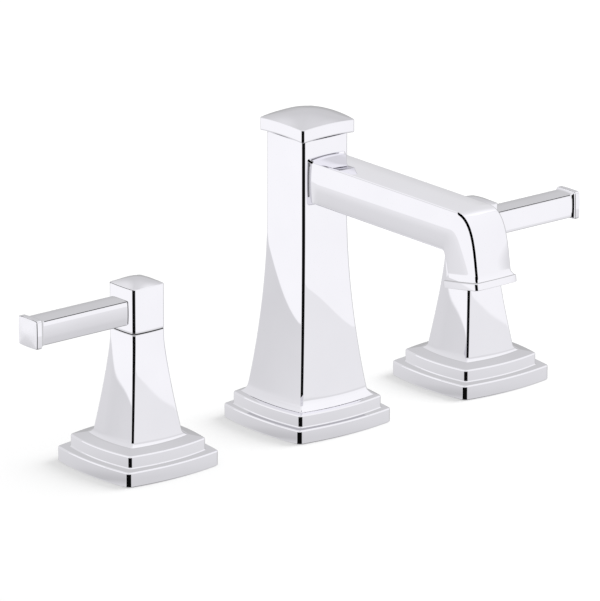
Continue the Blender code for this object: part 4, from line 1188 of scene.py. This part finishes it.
def world():
    """Room that the metal reflects and that lights the floor; the camera itself sees white."""
    made = bpy.data.worlds.new("studio")
    made.use_nodes = True
    tree = made.node_tree
    tree.nodes.clear()
    out = tree.nodes.new("ShaderNodeOutputWorld")
    light = tree.nodes.new("ShaderNodeBackground")
    seen = tree.nodes.new("ShaderNodeBackground")
    rays = tree.nodes.new("ShaderNodeLightPath")
    mix = tree.nodes.new("ShaderNodeMixShader")
    tree.links.new(rays.outputs["Is Camera Ray"], mix.inputs["Fac"])
    tree.links.new(light.outputs["Background"], mix.inputs[1])
    tree.links.new(seen.outputs["Background"], mix.inputs[2])
    tree.links.new(mix.outputs["Shader"], out.inputs["Surface"])
    tree.links.new(room_brightness(tree), light.inputs["Color"])
    seen.inputs["Color"].default_value = (1, 1, 1, 1)
    bpy.context.scene.world = made


LAMP_AIM = Vector((0, 0, 0.05))


def lamp(name, where, size, power, shape="DISK"):
    data = bpy.data.lights.new(name, "AREA")
    data.shape = shape
    data.size = size
    data.energy = power
    obj = bpy.data.objects.new(name, data)
    bpy.context.scene.collection.objects.link(obj)
    obj.location = where
    obj.rotation_mode = "QUATERNION"
    obj.rotation_quaternion = (LAMP_AIM - Vector(where)).to_track_quat("-Z", "Y")
    obj.visible_glossy = False
    obj.visible_camera = False
    return obj


def gather(name, pieces):
    made = bpy.data.collections.new(name)
    for piece in pieces:
        made.objects.link(piece)
    return made


def key_light(ground):
    """Soft lamp on the right that only lights the floor and is only shaded by the plates."""
    obj = lamp("key", (1.45, -0.45, 1.2), size=1.6, power=48)
    plates = [piece for piece in bpy.data.objects if piece.name.endswith("base_plate_shell")]
    obj.light_linking.receiver_collection = gather("key_lit", [ground])
    obj.light_linking.blocker_collection = gather("key_shaded_by", plates)


def rim_light(piece):
    """Large soft lamp behind the faucet that only brightens one piece."""
    obj = lamp("rim", (2.56, 3.07, 2.9), size=6, power=20, shape="SQUARE")
    obj.visible_glossy = True
    obj.light_linking.receiver_collection = gather("rim_lit", [piece])


def camera():
    data = bpy.data.cameras.new("camera")
    data.lens = 429.75
    data.sensor_width = 36
    data.clip_start = 0.1
    data.clip_end = 100
    obj = bpy.data.objects.new("camera", data)
    bpy.context.scene.collection.objects.link(obj)
    obj.location = (-2.052263, -2.465477, 1.048721)
    obj.rotation_mode = "QUATERNION"
    ahead = Vector((0.610528, 0.735017, -0.294968))
    obj.rotation_quaternion = ahead.to_track_quat("-Z", "Y")
    bpy.context.scene.camera = obj


ground = floor()
world()
key_light(ground)
rim_light(arm_piece)
camera()
bpy.context.scene.view_settings.view_transform = "Standard"
